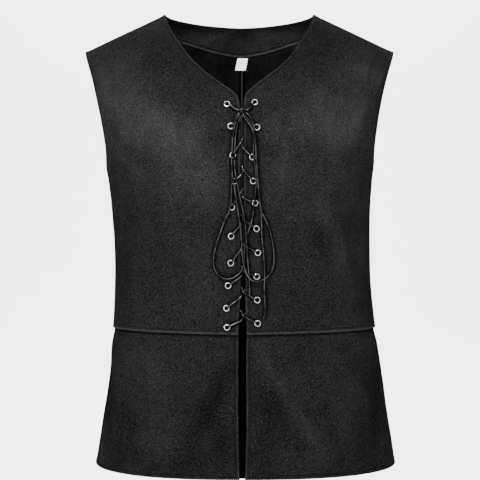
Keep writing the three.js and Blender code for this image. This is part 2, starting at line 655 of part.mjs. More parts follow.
function lacing(firstSide) {
  const spotOf = (row, side) => (side < 0 ? [row.leftX, row.leftZ] : [row.rightX, row.rightZ]);
  const middleZ = (row) => (row.leftZ + row.rightZ) / 2;
  const firstSpot = spotOf(eyeletRows[0], firstSide);
  const barEnd = [firstSide * seamGap, middleZ(eyeletRows[0])];
  const points = [frontSpot(...barEnd, -laceClear.lift), ...runFrom(firstSpot, barEnd, -1).reverse()];
  let side = firstSide;
  for (let i = 0; i < eyeletRows.length - 1; i += 1) {
    const share = side < 0 ? crossingShares[i].left : crossingShares[i].right;
    const crossZ = mix(middleZ(eyeletRows[i]), middleZ(eyeletRows[i + 1]), share);
    points.push(...lacingRung(spotOf(eyeletRows[i], side), spotOf(eyeletRows[i + 1], -side), crossZ));
    side = -side;
  }
  const top = spotOf(eyeletRows[eyeletRows.length - 1], side);
  const toKnot = laceToKnot.map(({ out, above, lift }) => [side * out, knot.z + above, lift]);
  points.push(frontSpot(...top, 0), ...runFrom(top, toKnot[0], 1).slice(0, laceTurn.length));
  points.push(...toKnot.map((spot) => frontSpot(...spot)));
  return tubeThrough(points, laceRadius, lacingSides);
}

const knotPlace = frontPlace(knot.x, knot.z);
const knotShape = (grow) => new THREE.SphereGeometry(1, knot.around, knot.down)
  .scale(knot.halfWidth + grow, knot.halfDepth + grow, knot.halfHeight + grow)
  .translate(...moved(knotPlace, knot.lift).toArray());
const knotRoom = asSolid(knotShape(seamGap));
const endedAtKnot = (geometry) => asGeometry(asSolid(geometry).subtract(knotRoom));

// The facing's lower edge, seen from the front: share goes from -1 at the left shoulder seam
// to 1 at the right one.
function facingEdge(share) {
  const side = share < 0 ? -1 : 1;
  const turn = Math.abs(share) * Math.PI / 2;
  const neckX = edgeX(frontNeckEdges, neckZ, side);
  const shoulderSlope = (neckZ - shoulderTipZ) / (edgeX(armholeEdges, shoulderTipZ, side) - neckX);
  const drop = mix(facing.middleDrop, facing.seamWidth * shoulderSlope, Math.sin(turn) ** 2);
  const x = neckX * Math.sin(turn) + facing.seamWidth * Math.sin(turn) ** 2;
  return new THREE.Vector2(side * x, mix(backNeckZ, neckZ, Math.sin(turn)) - drop);
}

// The facing lies on the inner faces of the two backs, from one shoulder seam to the other,
// and is cut off along its lower edge.
function facingGeometry() {
  const reach = Math.ceil(columns * facing.columnShare);
  const firstRow = backRises.findIndex((rise) => rise > 1) + facing.rowsOverUnderarm;
  const halves = [-1, 1].map((side) => {
    const piece = { ...bodicePiece(1, side) };
    piece.row = (...place) => ({ ...bodiceRow(...place), seamX: 0 });
    const frames = gridOf(piece, backRises.slice(firstRow)).map((row) => row.slice(0, reach));
    const layer = (lift) => frames.map((row) => row.map((frame) => moved(frame, lift)));
    const outerLift = -wall / 2 - seamGap;
    return asSolid(wallBetween(layer(outerLift), layer(outerLift - facing.thickness), side > 0));
  });
  const edge = evenly(-1, 1, facing.across).map(facingEdge);
  const aboveNeckZ = 2 * neckZ;
  const ends = [edge[edge.length - 1].x, edge[0].x].map((x) => new THREE.Vector2(x, aboveNeckZ));
  const behindBack = 2 * backShoulderDepth;
  const keep = new THREE.ExtrudeGeometry(new THREE.Shape([...edge, ...ends]),
    { depth: behindBack, bevelEnabled: false }).rotateX(Math.PI / 2).translate(0, behindBack, 0);
  return asGeometry(halves[0].add(halves[1]).intersect(asSolid(keep)));
}

function labelGeometry() {
  const topZ = backNeckZ - facing.middleDrop - label.dropBelowFacing;
  const outerLift = -wall / 2 - seamGap;
  const layer = (lift) => evenly(1, 0, label.down).map((down) => evenly(-0.5, 0.5, label.across)
    .map((share) => backPoint(label.topX + label.skew * down + label.width * share,
      topZ - label.height * down, lift)));
  return wallBetween(layer(outerLift), layer(outerLift - label.thickness), true);
}

const vest = new THREE.Group();

function add(name, geometry, material) {
  const mesh = new THREE.Mesh(geometry, material.clone());
  mesh.name = name;
  vest.add(mesh);
}

[['left', -1], ['right', 1]].forEach(([name, side]) => {
  add(`front_${name}`, frontPanel(side), finishes.suede);
  add(`back_${name}`, clothPanel(bodicePiece(1, side), backRises), finishes.suede);
  add(`peplum_front_${name}`, clothPanel(peplumPiece(-1, side), peplumRises), finishes.suede);
  add(`peplum_back_${name}`, clothPanel(peplumPiece(1, side), peplumRises), finishes.suede);
  eyeletPlaces.forEach((place, row) => {
    const number = String(row + 1).padStart(2, '0');
    add(`eyelet_${name}_${number}`, eyeletGeometry(place[name]), finishes.metal);
  });
  add(`lacing_${name}`, endedAtKnot(lacing(side)), finishes.lace);
});

add('back_neck_facing', facingGeometry(), finishes.inside);
add('label', labelGeometry(), finishes.label);
add('bow_knot', knotShape(0), finishes.lace);
add('bow_loop_left', endedAtKnot(freeCord(bowLoopLeftRoute, 54)), finishes.lace);
add('bow_loop_right', endedAtKnot(freeCord(bowLoopRightRoute, 54)), finishes.lace);
add('bow_tail_right', endedAtKnot(freeCord(bowTailRightRoute, 32)), finishes.lace);
add('bow_tail_left', endedAtKnot(freeCord(bowTailLeftRoute, 28)), finishes.lace);

export default vest;
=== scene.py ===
# A sleeveless lace-up vest of dark faux suede, filled out as worn.
# Metres, but the long tables (sections, folds, eyelets, routes, creases, nap) are in
# millimetres. +X is the viewer's right, -Y the front, +Z up. Left and right are the viewer's.
import math

import bmesh
import bpy
import numpy as np
from mathutils import Matrix, Vector, kdtree, noise


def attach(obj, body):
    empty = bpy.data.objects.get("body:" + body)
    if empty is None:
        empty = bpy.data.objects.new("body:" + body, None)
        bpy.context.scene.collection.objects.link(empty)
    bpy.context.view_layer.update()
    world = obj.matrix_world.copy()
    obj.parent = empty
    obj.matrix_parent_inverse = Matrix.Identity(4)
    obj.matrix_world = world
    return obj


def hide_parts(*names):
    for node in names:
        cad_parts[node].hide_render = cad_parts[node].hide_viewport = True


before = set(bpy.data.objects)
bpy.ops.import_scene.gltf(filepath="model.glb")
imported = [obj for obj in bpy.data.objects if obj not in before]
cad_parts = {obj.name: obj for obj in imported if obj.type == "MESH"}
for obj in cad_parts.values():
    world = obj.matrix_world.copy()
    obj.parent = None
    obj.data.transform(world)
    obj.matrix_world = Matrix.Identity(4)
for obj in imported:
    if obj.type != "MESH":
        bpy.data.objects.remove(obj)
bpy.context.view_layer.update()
bpy.ops.object.select_all(action="DESELECT")

# The camera stands level with the middle of the vest, as in a catalogue picture.
cameraSetup = {"place": (-0.0031, -1.6, -0.318), "lens": 77.4, "sensor": 36}

camera = bpy.data.objects.new("camera", bpy.data.cameras.new("camera"))
bpy.context.scene.collection.objects.link(camera)
camera.location = cameraSetup["place"]
camera.rotation_euler = (math.radians(90), 0, 0)
camera.data.lens = cameraSetup["lens"]
camera.data.sensor_width = cameraSetup["sensor"]
bpy.context.scene.camera = camera
print("camera placed")

# The cut of the worn vest. Level sections: half the width, the lean of its middle to the
# right, and how far the front and the back stand out from the side seams.
bodiceSections = {
    "z": (-455, -384, -320, -262, -214),
    "half": (201, 196.3, 195.8, 198.6, 203.2),
    "lean": (3.4, 1.3, 0, -1.5, -3.1),
    "front": (114, 115, 120, 125, 127),
    "back": (100, 98, 104, 112, 117),
}
peplumSections = {
    "z": (-658, -591, -510, -446),
    "half": (228.7, 218.9, 207.4, 200.2),
    "lean": (5.3, 5.5, 5, 3.1),
    "front": (140, 131, 121, 113.8),
    "back": (118, 112, 105, 99.8),
}
armholeEdges = {
    "z": (-214, -183, -145, -108, -75, -29),
    "half": (203.2, 200.5, 204.7, 212.4, 221.3, 238),
    "lean": (-3.1, -3, -3.6, -4.2, -4.1, -3.8),
}
frontNeckEdges = {
    "z": (-128, -116, -108, -100, -86, -66, -50, -30, -5, 15, 30),
    "half": (2.6, 3.8, 7, 15.2, 32.7, 56.5, 71.7, 85.6, 101, 110, 113.7),
    "lean": (-0.4, -1, -2, -3.2, -4.2, -3.6, -3.4, -3.8, -3.6, -3.8, -4),
}
frontOpening = {
    "z": (-658, -629, -588, -468, -447, -428, -401, -374, -346, -240, -150, -128),
    "half": (3.5, 4.7, 5.5, 5.6, 5.9, 4.8, 3.3, 3.6, 2.3, 2.3, 2.3, 2.6),
    "lean": (0.2, 0.4, 0.3, 0.3, 0.7, 0.4, 1, 1.6, 0, 0, 0, -0.4),
}
frontFolds = [  # topX, topZ, lowX, lowZ, width, lift
    (116, -262, 150, -380, 13, 2.6), (92, -270, 122, -390, 16, -2.2), (-118, -300, -132, -420, 18, -2),
    (30, -480, 112, -620, 17, 3.4), (62, -470, 160, -640, 18, -3.2), (-60, -500, -84, -650, 20, -3),
    (-116, -480, -138, -650, 20, 3), (-176, -520, -186, -655, 16, -3.4), (186, -520, 198, -655, 16, -3.2),
]
backFolds = [  # topX, topZ, lowX, lowZ, width, lift
    (-70, -250, -96, -400, 18, 2.6), (84, -280, 110, -410, 18, -2.4), (26, -330, 40, -440, 15, 2),
    (-50, -480, -70, -670, 20, 3.6), (-120, -480, -150, -660, 20, -3.4), (60, -480, 84, -670, 20, -3.2),
    (126, -480, 156, -655, 20, 3.4),
]
eyeletRows = np.array([  # leftX, leftZ, rightX, rightZ
    (-21.7, -443.6, 22.3, -438.1), (-22.6, -416.2, 21.7, -404.3), (-20.2, -383.8, 21, -370.6),
    (-16.3, -351, 22.6, -336.2), (-15.9, -312.3, 20.6, -301.8), (-14.5, -271, 18.5, -265),
    (-11.4, -234.2, 15.7, -233.7), (-13.3, -197, 14.7, -199.5), (-16.4, -155.3, 21.1, -157),
    (-21.7, -124.1, 18, -121.5),
]) / 1000

cloth = {
    "wall": 0.002, "seam": 0.0003, "roll": 2 / 2.35, "neckZ": 0.030, "backNeckZ": 0.026,
    "shoulderTipZ": -0.029, "neckBottomZ": -0.128, "underarmZ": -0.214, "sideWaistZ": -0.4515,
    "frontWaistZ": -0.455, "peplumTuck": 0.005, "tuckFrom": 0.026, "tuckTo": 0.0015, "hemZ": -0.658,
    "backHemDip": 0.0575, "edgeAtUnderarmZ": -0.190, "bladeZ": -0.135, "frontDepth": 0.127,
    "backDepth": 0.114, "neckDepth": 0.078, "shoulderRound": 1.15,
}
armhole = {"middleZ": -0.149, "below": 0.065, "above": 0.120, "front": 0.065, "back": 0.060}
quarter = math.pi / 2


def mix(low, high, share):
    return low + (high - low) * share


def smooth(value, low, high):
    t = np.clip((value - low) / (high - low), 0, 1)
    return t * t * (3 - 2 * t)


def bump(gap, at, wide):
    return np.exp(-((gap - at) / wide) ** 2)


def unit(vectors):
    return vectors / np.maximum(np.linalg.norm(vectors, axis=-1, keepdims=True), 1e-12)


def lengthAlong(points):
    return np.concatenate([[0], np.cumsum(np.linalg.norm(np.diff(points, axis=0), axis=1))])


def readColumn(table, z, name):
    heights, values = np.array(table["z"]) / 1000, np.array(table[name]) / 1000
    rise = np.diff(values) / np.diff(heights)
    slope = np.concatenate([rise[:1], (rise[:-1] + rise[1:]) / 2, rise[-1:]])
    at = np.clip(z, heights[0], heights[-1])
    i = np.clip(np.searchsorted(heights, at) - 1, 0, len(heights) - 2)
    span = heights[i + 1] - heights[i]
    t = (at - heights[i]) / span
    return ((2 * t**3 - 3 * t**2 + 1) * values[i] + (t**3 - 2 * t**2 + t) * slope[i] * span
            + (3 * t**2 - 2 * t**3) * values[i + 1] + (t**3 - t**2) * slope[i + 1] * span)


def edgeX(table, z, side):
    return readColumn(table, z, "half") + side * readColumn(table, z, "lean")


def neckTurn(share):
    return np.arccos((share * cloth["neckDepth"] / cloth["backDepth"]) ** (1 / cloth["shoulderRound"]))


# A row of cloth runs from the centre line to the side seam, armhole or shoulder tip. rise is
# 0 at the waist, 1 at the underarm and 2 at the shoulder seam.
def bodiceRow(face, side, rise):
    name = "front" if face < 0 else "back"
    full = cloth[name + "Depth"]
    waistZ = cloth["frontWaistZ"] if face < 0 else cloth["sideWaistZ"]
    rise = np.asarray(rise, float)
    low = rise <= 1
    turn = np.clip(math.pi * (rise - 1) - quarter, -quarter, quarter)
    upper = turn > 0
    towards = 1 + turn / quarter  # 0 at the underarm, 1 at the middle of the armhole
    reachZ = np.where(upper, armhole["above"], armhole["below"])
    outerZ = np.where(low, mix(cloth["sideWaistZ"], cloth["underarmZ"], rise),
                      armhole["middleZ"] + np.sin(turn) * reachZ)
    curve = np.maximum(np.cos(turn), 0)
    chest = readColumn(bodiceSections, cloth["underarmZ"], name)
    reach = armhole[name] / full
    depth = np.where(low, readColumn(bodiceSections, outerZ, name),
                     np.where(upper, full * curve ** cloth["shoulderRound"],
                              mix(chest, full, np.clip(towards, 0, 1))))
    share = np.where(low, 0, np.where(upper, reach, reach * curve))
    outerX = np.where(low, edgeX(bodiceSections, outerZ, side), edgeX(armholeEdges, outerZ, side))
    lowZ = mix(waistZ, cloth["edgeAtUnderarmZ"], rise)
    if face < 0:
        climb = np.where(upper, mix(cloth["neckBottomZ"], cloth["neckZ"], np.sin(turn) ** 2),
                         mix(cloth["edgeAtUnderarmZ"], cloth["neckBottomZ"], towards))
        innerZ = np.where(low, lowZ, climb)
        innerX = np.where(upper & ~low, edgeX(frontNeckEdges, innerZ, side),
                          edgeX(frontOpening, innerZ, side))
    else:
        opened = np.sqrt(np.maximum(1 - (depth / cloth["neckDepth"]) ** 2, 0))
        onSeam = low | (turn <= neckTurn(1.0))
        leanIn = np.clip((full - depth) / (full - cloth["neckDepth"]), 0, 1)
        climb = np.where(upper, mix(cloth["bladeZ"], cloth["backNeckZ"], np.sqrt(leanIn)),
                         mix(cloth["edgeAtUnderarmZ"], cloth["bladeZ"], towards))
        atNeck = np.where(onSeam, climb, mix(cloth["backNeckZ"], cloth["neckZ"], opened))
        innerZ = np.where(low, lowZ, atNeck)
        innerX = np.where(onSeam, 0, edgeX(frontNeckEdges, cloth["neckZ"], side) * opened)
    return {"innerX": innerX, "innerZ": innerZ, "outerX": outerX, "outerZ": outerZ,
            "depth": depth, "share": share, "dip": 0 * rise}


# rise is 0 at the hem and 1 at the top edge, which is tucked behind the bodice.
def peplumRow(face, side, rise):
    rise = np.asarray(rise, float)
    waistZ = cloth["frontWaistZ"] if face < 0 else cloth["sideWaistZ"]
    innerZ = mix(cloth["hemZ"], waistZ + cloth["peplumTuck"], rise)
    outerZ = mix(cloth["hemZ"], cloth["sideWaistZ"] + cloth["peplumTuck"], rise)
    tuck = (cloth["wall"] + 2 * cloth["seam"]) * smooth(
        outerZ, cloth["sideWaistZ"] - cloth["tuckFrom"], cloth["sideWaistZ"] - cloth["tuckTo"])
    return {"innerX": edgeX(frontOpening, innerZ, side) if face < 0 else 0 * rise, "innerZ": innerZ,
            "outerX": edgeX(peplumSections, outerZ, side) - tuck, "outerZ": outerZ,
            "depth": readColumn(peplumSections, outerZ, "front" if face < 0 else "back") - tuck,
            "share": 0 * rise, "dip": (0 if face < 0 else cloth["backHemDip"]) * (1 - rise)}


def rowHeight(row, x, angle):
    level = mix(row["innerZ"], row["outerZ"], (x - row["innerX"]) / (row["outerX"] - row["innerX"]))
    return level - row["dip"] * np.cos(angle) ** 2


def sectionOf(row):
    outerAngle = np.arccos(row["share"] ** (1 / cloth["roll"]))
    half = row["outerX"] / np.sin(outerAngle) ** cloth["roll"]
    innerAngle = np.arcsin(np.clip(row["innerX"] / half, 0, 1) ** (1 / cloth["roll"]))
    return outerAngle, half, innerAngle


# A point on the middle of the cloth; across is 0 at the centre line and 1 at the outer end.
def clothPoint(piece, rise, across):
    row = piece["row"](piece["face"], piece["side"], rise)
    outerAngle, half, innerAngle = sectionOf(row)
    angle = mix(innerAngle, outerAngle, across)
    x = half * np.maximum(np.sin(angle), 0) ** cloth["roll"]
    y = row["depth"] * np.maximum(np.cos(angle), 0) ** cloth["roll"]
    return np.stack([piece["side"] * x, piece["face"] * y, rowHeight(row, x, angle)], axis=-1)


def foldLift(face, points):
    total = np.zeros(points.shape[:-1])
    for topX, topZ, lowX, lowZ, width, lift in np.array(frontFolds if face < 0 else backFolds) / 1000:
        top, run = np.array([topX, topZ]), np.array([lowX - topX, lowZ - topZ])
        away = points[..., [0, 2]] - top
        along = away @ run / (run @ run)
        gap = np.linalg.norm(away - np.clip(along, 0, 1)[..., None] * run, axis=-1)
        total += lift * bump(gap, 0, width) * smooth(along, -0.15, 0.3) * (1 - smooth(along, 0.75, 1.15))
    return total


# Points of the cloth and the way out from it, with the broad folds raised
def clothFrame(piece, rise, across):
    step = 0.004
    rise, across = np.broadcast_arrays(np.asarray(rise, float), np.asarray(across, float))
    lowRise = np.clip(rise - step, 0, piece["top"] - 2 * step)
    lowAcross = np.clip(across - step, 0, 1 - 2 * step)
    up = clothPoint(piece, lowRise + 2 * step, across) - clothPoint(piece, lowRise, across)
    out = clothPoint(piece, rise, lowAcross + 2 * step) - clothPoint(piece, rise, lowAcross)
    turned = np.asarray(piece["face"] * piece["side"], float)[..., None]
    normal = unit(np.cross(up, out)) * turned
    if piece["face"] > 0:
        seam = (across <= 0) & (piece["row"](1, piece["side"], rise)["innerX"] <= 0)
        normal[..., 0] = np.where(seam, 0, normal[..., 0])
        normal = unit(normal)
    point = clothPoint(piece, rise, across)
    return point + normal * foldLift(piece["face"], point)[..., None], normal


# Where on the bodice the place seen at x and z is, and its point and normal
def bodiceSpot(face, x, z):
    x, z = np.broadcast_arrays(np.asarray(x, float), np.asarray(z, float))
    side = np.where(x < 0, -1.0, 1.0)
    low, high = np.zeros(x.shape), np.full(x.shape, 2.0)
    for _ in range(40):  # halvings, to far less than a hair
        middle = (low + high) / 2
        under = rowHeight(bodiceRow(face, side, middle), np.abs(x), 0) < z
        low, high = np.where(under, middle, low), np.where(under, high, middle)
    outerAngle, half, innerAngle = sectionOf(bodiceRow(face, side, low))
    angle = np.arcsin(np.clip(np.abs(x) / half, 0, 1) ** (1 / cloth["roll"]))
    piece = {"face": face, "side": side, "row": bodiceRow, "top": 2}
    return clothFrame(piece, low, (angle - innerAngle) / (outerAngle - innerAngle))


def frontSpot(x, z):
    point, normal = bodiceSpot(-1, np.array([x]), np.array([z]))
    return point[0], normal[0]


def onFront(spots):
    spots = np.array(spots, float)
    point, normal = bodiceSpot(-1, spots[:, 0], spots[:, 1])
    return point + normal * spots[:, 2:3]


# How far a place is from the nearest eyelet, as seen from the front
def eyeletGap(points):
    centres = eyeletRows.reshape(-1, 2)
    return np.min([np.hypot(points[..., 0] - x, points[..., 2] - z) for x, z in centres], axis=0)


# Cords. Each route gives x, z and the lift from the middle of the front's cloth, all in mm.
bowLoopLeftRoute = [
    (-4.5, -137.8, 7), (-8.6, -142.4, 6.6), (-11.6, -150.3, 6.3), (-13.1, -168.8, 6.3),
    (-13.9, -190, 6.3), (-14.8, -211.4, 6.3), (-14.9, -237, 6.3), (-15.5, -258, 6.3), (-18.4, -276, 6.3),
    (-23.4, -286, 6.3), (-27.5, -296, 6.3), (-31.8, -308.5, 6.3), (-36, -321, 6.3), (-38.8, -332.5, 6.4),
    (-40.5, -344, 6.5), (-40.2, -354, 6.6), (-37.4, -362, 6.8), (-32, -368.6, 7), (-24.6, -372.6, 7),
    (-16.4, -373, 6.8), (-8.8, -369.4, 6.6), (-2, -362.4, 6.5), (2, -353.5, 6.4), (3, -342, 6.3),
    (3.2, -330, 6.3), (4.4, -319.5, 6.3), (7.6, -308.5, 6.3), (11.6, -296, 6.3), (14.6, -285, 6.3),
    (16.4, -272, 6.3), (18.2, -257.5, 6.3), (19.5, -243, 6.3), (19.9, -229, 6.3), (18.6, -214, 6.3),
    (16.4, -199, 6.3), (16, -184, 6.3), (16.6, -169, 6.3), (14.6, -157, 6.3), (8.6, -146.2, 6.4),
    (3.2, -139.4, 6.8),
]
bowLoopRightRoute = [
    (5.2, -137.6, 7.8), (10.6, -142.4, 8.8), (14.8, -151.5, 9.1), (17.6, -166, 9.1), (18.8, -183, 9.1),
    (19.4, -201, 9.1), (20.9, -226, 9.1), (22.6, -248, 9.1), (25, -266, 9.1), (28.6, -279.5, 8.7),
    (33.4, -289, 8), (37.4, -299, 7.4), (40.6, -309.5, 7), (42.8, -320, 7), (44.5, -331, 7),
    (45, -342, 7), (44.2, -352, 7), (41.8, -361, 7.2), (37.4, -368.4, 7.6), (31, -373.6, 8.2),
    (23.6, -376.4, 8.8), (16.6, -376, 9.2), (11, -372.3, 9.3), (6.6, -366, 9.3), (3.4, -357.5, 9.3),
    (1, -346, 9.2), (-0.6, -331, 9.1), (-1, -316, 9.1), (-2.2, -300, 9.1), (-5, -282.5, 9.1),
    (-7.8, -264, 9.1), (-10.8, -243, 9.1), (-13.3, -227, 9.1), (-14.7, -211, 9.1), (-14.5, -194, 9.1),
    (-13.4, -176, 9.1), (-11.2, -159, 9.1), (-8, -147, 9.3), (-4, -139.4, 9.9),
]
bowTailRightRoute = [
    (1.2, -139.4, 10.8), (4.8, -146, 11.9), (9.8, -153, 12), (14.6, -162, 11.9), (17.6, -175, 11.9),
    (19, -192, 11.9), (20.4, -212, 11.9), (21.9, -232, 11.9), (23.6, -252, 11.9), (25.6, -268, 11.9),
    (26.8, -282, 11.4), (27.3, -296, 10.6), (27.6, -310, 10.1), (28.8, -324, 10), (30.2, -338, 10.3),
    (31.2, -353, 10.9), (31.6, -368, 11.3), (31, -382, 10.7), (31.5, -395, 9.7), (32.4, -408.5, 8.8),
    (32.2, -421, 8.2), (30.2, -429.5, 7.8),
]
bowTailLeftRoute = [
    (-0.6, -139.6, 7.2), (-3.6, -146, 6.6), (-7.2, -156, 6.3), (-9.4, -170, 6.3), (-10.4, -188, 6.3),
    (-11, -206, 6.3), (-9.8, -222, 6.4), (-7.6, -235, 6.7), (-4.8, -249, 7.1), (-1.4, -265, 7.8),
    (2.2, -281, 8.7), (4.6, -297, 9.2), (5.9, -312, 9.3), (6.8, -327, 9), (7.6, -341, 8),
    (8.6, -354.5, 6.9), (9.6, -367, 6.3), (10.4, -380, 6.2), (10.6, -396.5, 6),
]


# A smooth line through given points, with even steps along it
def smoothLine(points, step):
    held = np.vstack([2 * points[0] - points[1], points, 2 * points[-1] - points[-2]])
    line = []
    for i in range(len(points) - 1):
        p = held[i:i + 4]
        gaps = np.maximum(np.linalg.norm(np.diff(p, axis=0), axis=1) ** 0.5, 1e-6)
        slopes = [(p[k + 1] - p[k]) / gaps[k] for k in range(3)]
        ends = [slopes[k] - (p[k + 2] - p[k]) / (gaps[k] + gaps[k + 1]) + slopes[k + 1] for k in (0, 1)]
        first, second = ends[0] * gaps[1], ends[1] * gaps[1]
        t = np.linspace(0, 1, 24, endpoint=False)[:, None]
        line.append((2 * t**3 - 3 * t**2 + 1) * p[1] + (t**3 - 2 * t**2 + t) * first
                    + (3 * t**2 - 2 * t**3) * p[2] + (t**3 - t**2) * second)
    line = np.vstack([*line, points[-1:]])
    length = lengthAlong(line)
    count = max(int(round(length[-1] / step)), 4)
    even = np.linspace(0, length[-1], count + 1)
    return np.stack([np.interp(even, length, line[:, k]) for k in range(3)], axis=-1), length[-1]


def pointValues(mesh, name, values):
    mesh.attributes.new(name, "FLOAT", "POINT").data.foreach_set("value", np.asarray(values, np.float32))


def addMesh(name, vertices, faces, uv=None, floats=None):
    mesh = bpy.data.meshes.new(name)
    mesh.from_pydata([tuple(v) for v in vertices], [], faces)
    if uv is not None:
        layer = mesh.uv_layers.new(name="cut")
        corners = np.zeros(len(mesh.loops), dtype=np.int32)
        mesh.loops.foreach_get("vertex_index", corners)
        layer.data.foreach_set("uv", np.asarray(uv, np.float32)[corners].ravel())
    for key, values in (floats or {}).items():
        pointValues(mesh, key, values)
    built = bmesh.new()
    built.from_mesh(mesh)
    bmesh.ops.recalc_face_normals(built, faces=built.faces)
    built.to_mesh(mesh)
    built.free()
    mesh.shade_smooth()
    piece = bpy.data.objects.new(name, mesh)
    bpy.context.scene.collection.objects.link(piece)
    return piece


tubeEnd = ((0.85, 0.5), (0.5, 0.85))  # how far out and how wide the last rings are, in radii


# A round cord with closed, rounded ends; the length along it goes into the UV map.
def addTube(name, path, radius, sides):
    along = unit(np.gradient(path, axis=0))
    run = lengthAlong(path)
    rings = [(path[0] - along[0] * radius * out, 0, wide, run[0] - radius * out) for out, wide in tubeEnd]
    rings += [(path[i], i, 1, run[i]) for i in range(len(path))]
    rings += [(path[-1] + along[-1] * radius * out, -1, wide, run[-1] + radius * out)
              for out, wide in tubeEnd[::-1]]
    across = unit(np.cross([0, 0, 1.0] if abs(along[0][2]) < 0.9 else [0, 1.0, 0], along[0]))
    vertices, uv, faces = [], [], []
    for centre, i, size, length in rings:
        across = unit(across - along[i] * (across @ along[i]))
        other = np.cross(along[i], across)
        for k in range(sides):
            a = 2 * math.pi * k / sides
            vertices.append(centre + radius * size * (across * math.cos(a) + other * math.sin(a)))
            uv.append((k / sides * 2 * math.pi * radius, length))
    for r in range(len(rings) - 1):
        for k in range(sides):
            n = (k + 1) % sides
            faces.append((r * sides + k, r * sides + n, (r + 1) * sides + n, (r + 1) * sides + k))
    faces.append(tuple(range(sides)))
    faces.append(tuple(range((len(rings) - 1) * sides, len(rings) * sides)))
    return addMesh(name, vertices, faces, uv)


lace = {
    "radius": 0.0013, "step": 0.0015, "sides": 12, "lacingStep": 0.0012, "lacingSides": 10,
    "bar": 0.021,  # the first run, behind the fronts
    "inHole": (0.0022, 0.0045),  # from the eyelet's middle to where the gloss shows in full; nearer in it is taken off as painted shade
    "over": 0.001, "loose": 0.005,  # lifts at which a cord lies over the cloth and well clear of it
}
crossingShares = [  # left, right
    (0.33, 0.56), (0.42, 0.63), (0.31, 0.54), (0.42, 0.62), (0.37, 0.57),
    (0.61, 0.40), (0.33, 0.53), (0.54, 0.34), (0.38, 0.59),
]
laceTurn = [(0, 0.0020), (0.0014, 0.0035), (0.0044, 0.00365)]  # distance from the eyelet, lift
laceRunLift = 0.0029
laceCrossing = [(0.0021, -0.0035, 0.00285), (0.0005, -0.0016, 0.0018), (0, 0, 0),
                (-0.0005, 0.0016, -0.0018), (-0.0021, 0.0035, -0.00285)]  # out, above, lift
laceToKnot = [(0.0094, 0.0036, 0.0056), (0.0040, 0.0014, 0.0076)]
knot = {"x": 0.0, "z": -0.1355, "lift": 0.008}


# The lace from an eyelet half way towards another spot, over the cloth or behind it
def runFrom(start, end, sign):
    start = np.array(start[:2])
    way = np.array(end[:2]) - start
    length = np.linalg.norm(way)
    turns = laceTurn + [((length + laceTurn[-1][0]) / 2, laceRunLift)]
    return [(*(start + way / length * distance), sign * lift) for distance, lift in turns]


def eyeletSpot(row, side):
    return (row[0], row[1]) if side < 0 else (row[2], row[3])


def rowLevel(row):
    return (row[1] + row[3]) / 2


def lacingSpots(side):
    barEnd = (side * cloth["seam"], rowLevel(eyeletRows[0]))
    spots = [(*barEnd, -laceTurn[-1][1])] + runFrom(eyeletSpot(eyeletRows[0], side), barEnd, -1)[::-1]
    for low, high, shares in zip(eyeletRows, eyeletRows[1:], crossingShares):
        z = mix(rowLevel(low), rowLevel(high), shares[0] if side < 0 else shares[1])
        crossing = [(side * out, z + above, lift) for out, above, lift in laceCrossing]
        start, end = eyeletSpot(low, side), eyeletSpot(high, -side)
        spots += [(*start, 0)] + runFrom(start, crossing[0], 1) + crossing
        spots += runFrom(end, crossing[-1], -1)[::-1]
        side = -side
    top = eyeletSpot(eyeletRows[-1], side)
    toKnot = [(side * out, knot["z"] + above, lift) for out, above, lift in laceToKnot]
    return spots + [(*top, 0)] + runFrom(top, toKnot[0], 1)[:3] + toKnot


cords = {}
cordTops = []  # where cords lie over the fronts


# A cord, with where its gloss shows: taken off as painted shade down in an eyelet and on its first run behind
# the cloth, and scaled by wax
def addCord(name, path, sides=lace["sides"], behind=0.0, wax=1.0):
    path = np.array(path)
    piece = addTube(name, path, lace["radius"], sides)
    seen = lengthAlong(path) >= behind
    place, out = bodiceSpot(-1, path[:, 0], path[:, 2])
    lift = np.sum((path - place) * out, axis=1)
    cordTops.append(path[(lift > lace["over"]) & seen])
    glossWithPaintedShade = wax * seen * np.where(lift > lace["loose"], 1, smooth(eyeletGap(path), *lace["inHole"]))
    rings = np.concatenate([glossWithPaintedShade[:1], glossWithPaintedShade[:1], glossWithPaintedShade, glossWithPaintedShade[-1:], glossWithPaintedShade[-1:]])
    pointValues(piece.data, "glossWithPaintedShade", np.repeat(rings, sides))
    cords[name] = piece
    return piece


freeCords = {
    "bowLoopLeft": {"route": bowLoopLeftRoute, "node": "bow_loop_left", "end": "object"},
    "bowLoopRight": {"route": bowLoopRightRoute, "node": "bow_loop_right", "end": "object"},
    "bowTailRight": {"route": bowTailRightRoute, "node": "bow_tail_right", "end": "bare"},
    "bowTailLeft": {"route": bowTailLeftRoute, "node": "bow_tail_left", "end": "bare"},
}
for name, made in freeCords.items():
    path, length = smoothLine(onFront(np.array(made["route"]) / 1000), lace["step"])
    piece = addCord(name, path)
    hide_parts(made["node"])
    print(name, "is", round(float(length), 3), "m long")
for name, side in (("lacingLeft", -1), ("lacingRight", 1)):
    path, length = smoothLine(onFront(lacingSpots(side)), lace["lacingStep"])
    piece = addCord(name, path, lace["lacingSides"], lace["bar"])
    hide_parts("lacing_left" if side < 0 else "lacing_right")
    print(name, "is", round(float(length), 3), "m long")

# The knot is two wraps of the lace round the bundle, under a third that locks it.
knotPoint, knotOut = frontSpot(knot["x"], knot["z"])
knotMiddle = knotPoint + knotOut * knot["lift"]
wraps = {
    "around": {"turns": 2.2, "wide": 0.0044, "deep": 0.0030, "rise": 0.0052, "lean": 0.0009},
    "lock": {"turns": 0.92, "wide": 0.0034, "deep": 0.0042, "rise": 0.0018, "lean": -0.0020},
}
wrapSteps = 40  # to a turn


def wrapPath(turns, wide, deep, rise, lean):
    path = []
    steps = int(turns * wrapSteps)
    for i in range(steps + 1):
        a = 2 * math.pi * i / wrapSteps
        up = rise * (i / steps - 0.5) + lean * math.sin(a)
        path.append(knotMiddle + np.array([wide * math.sin(a), -deep * math.cos(a), up]))
    return path
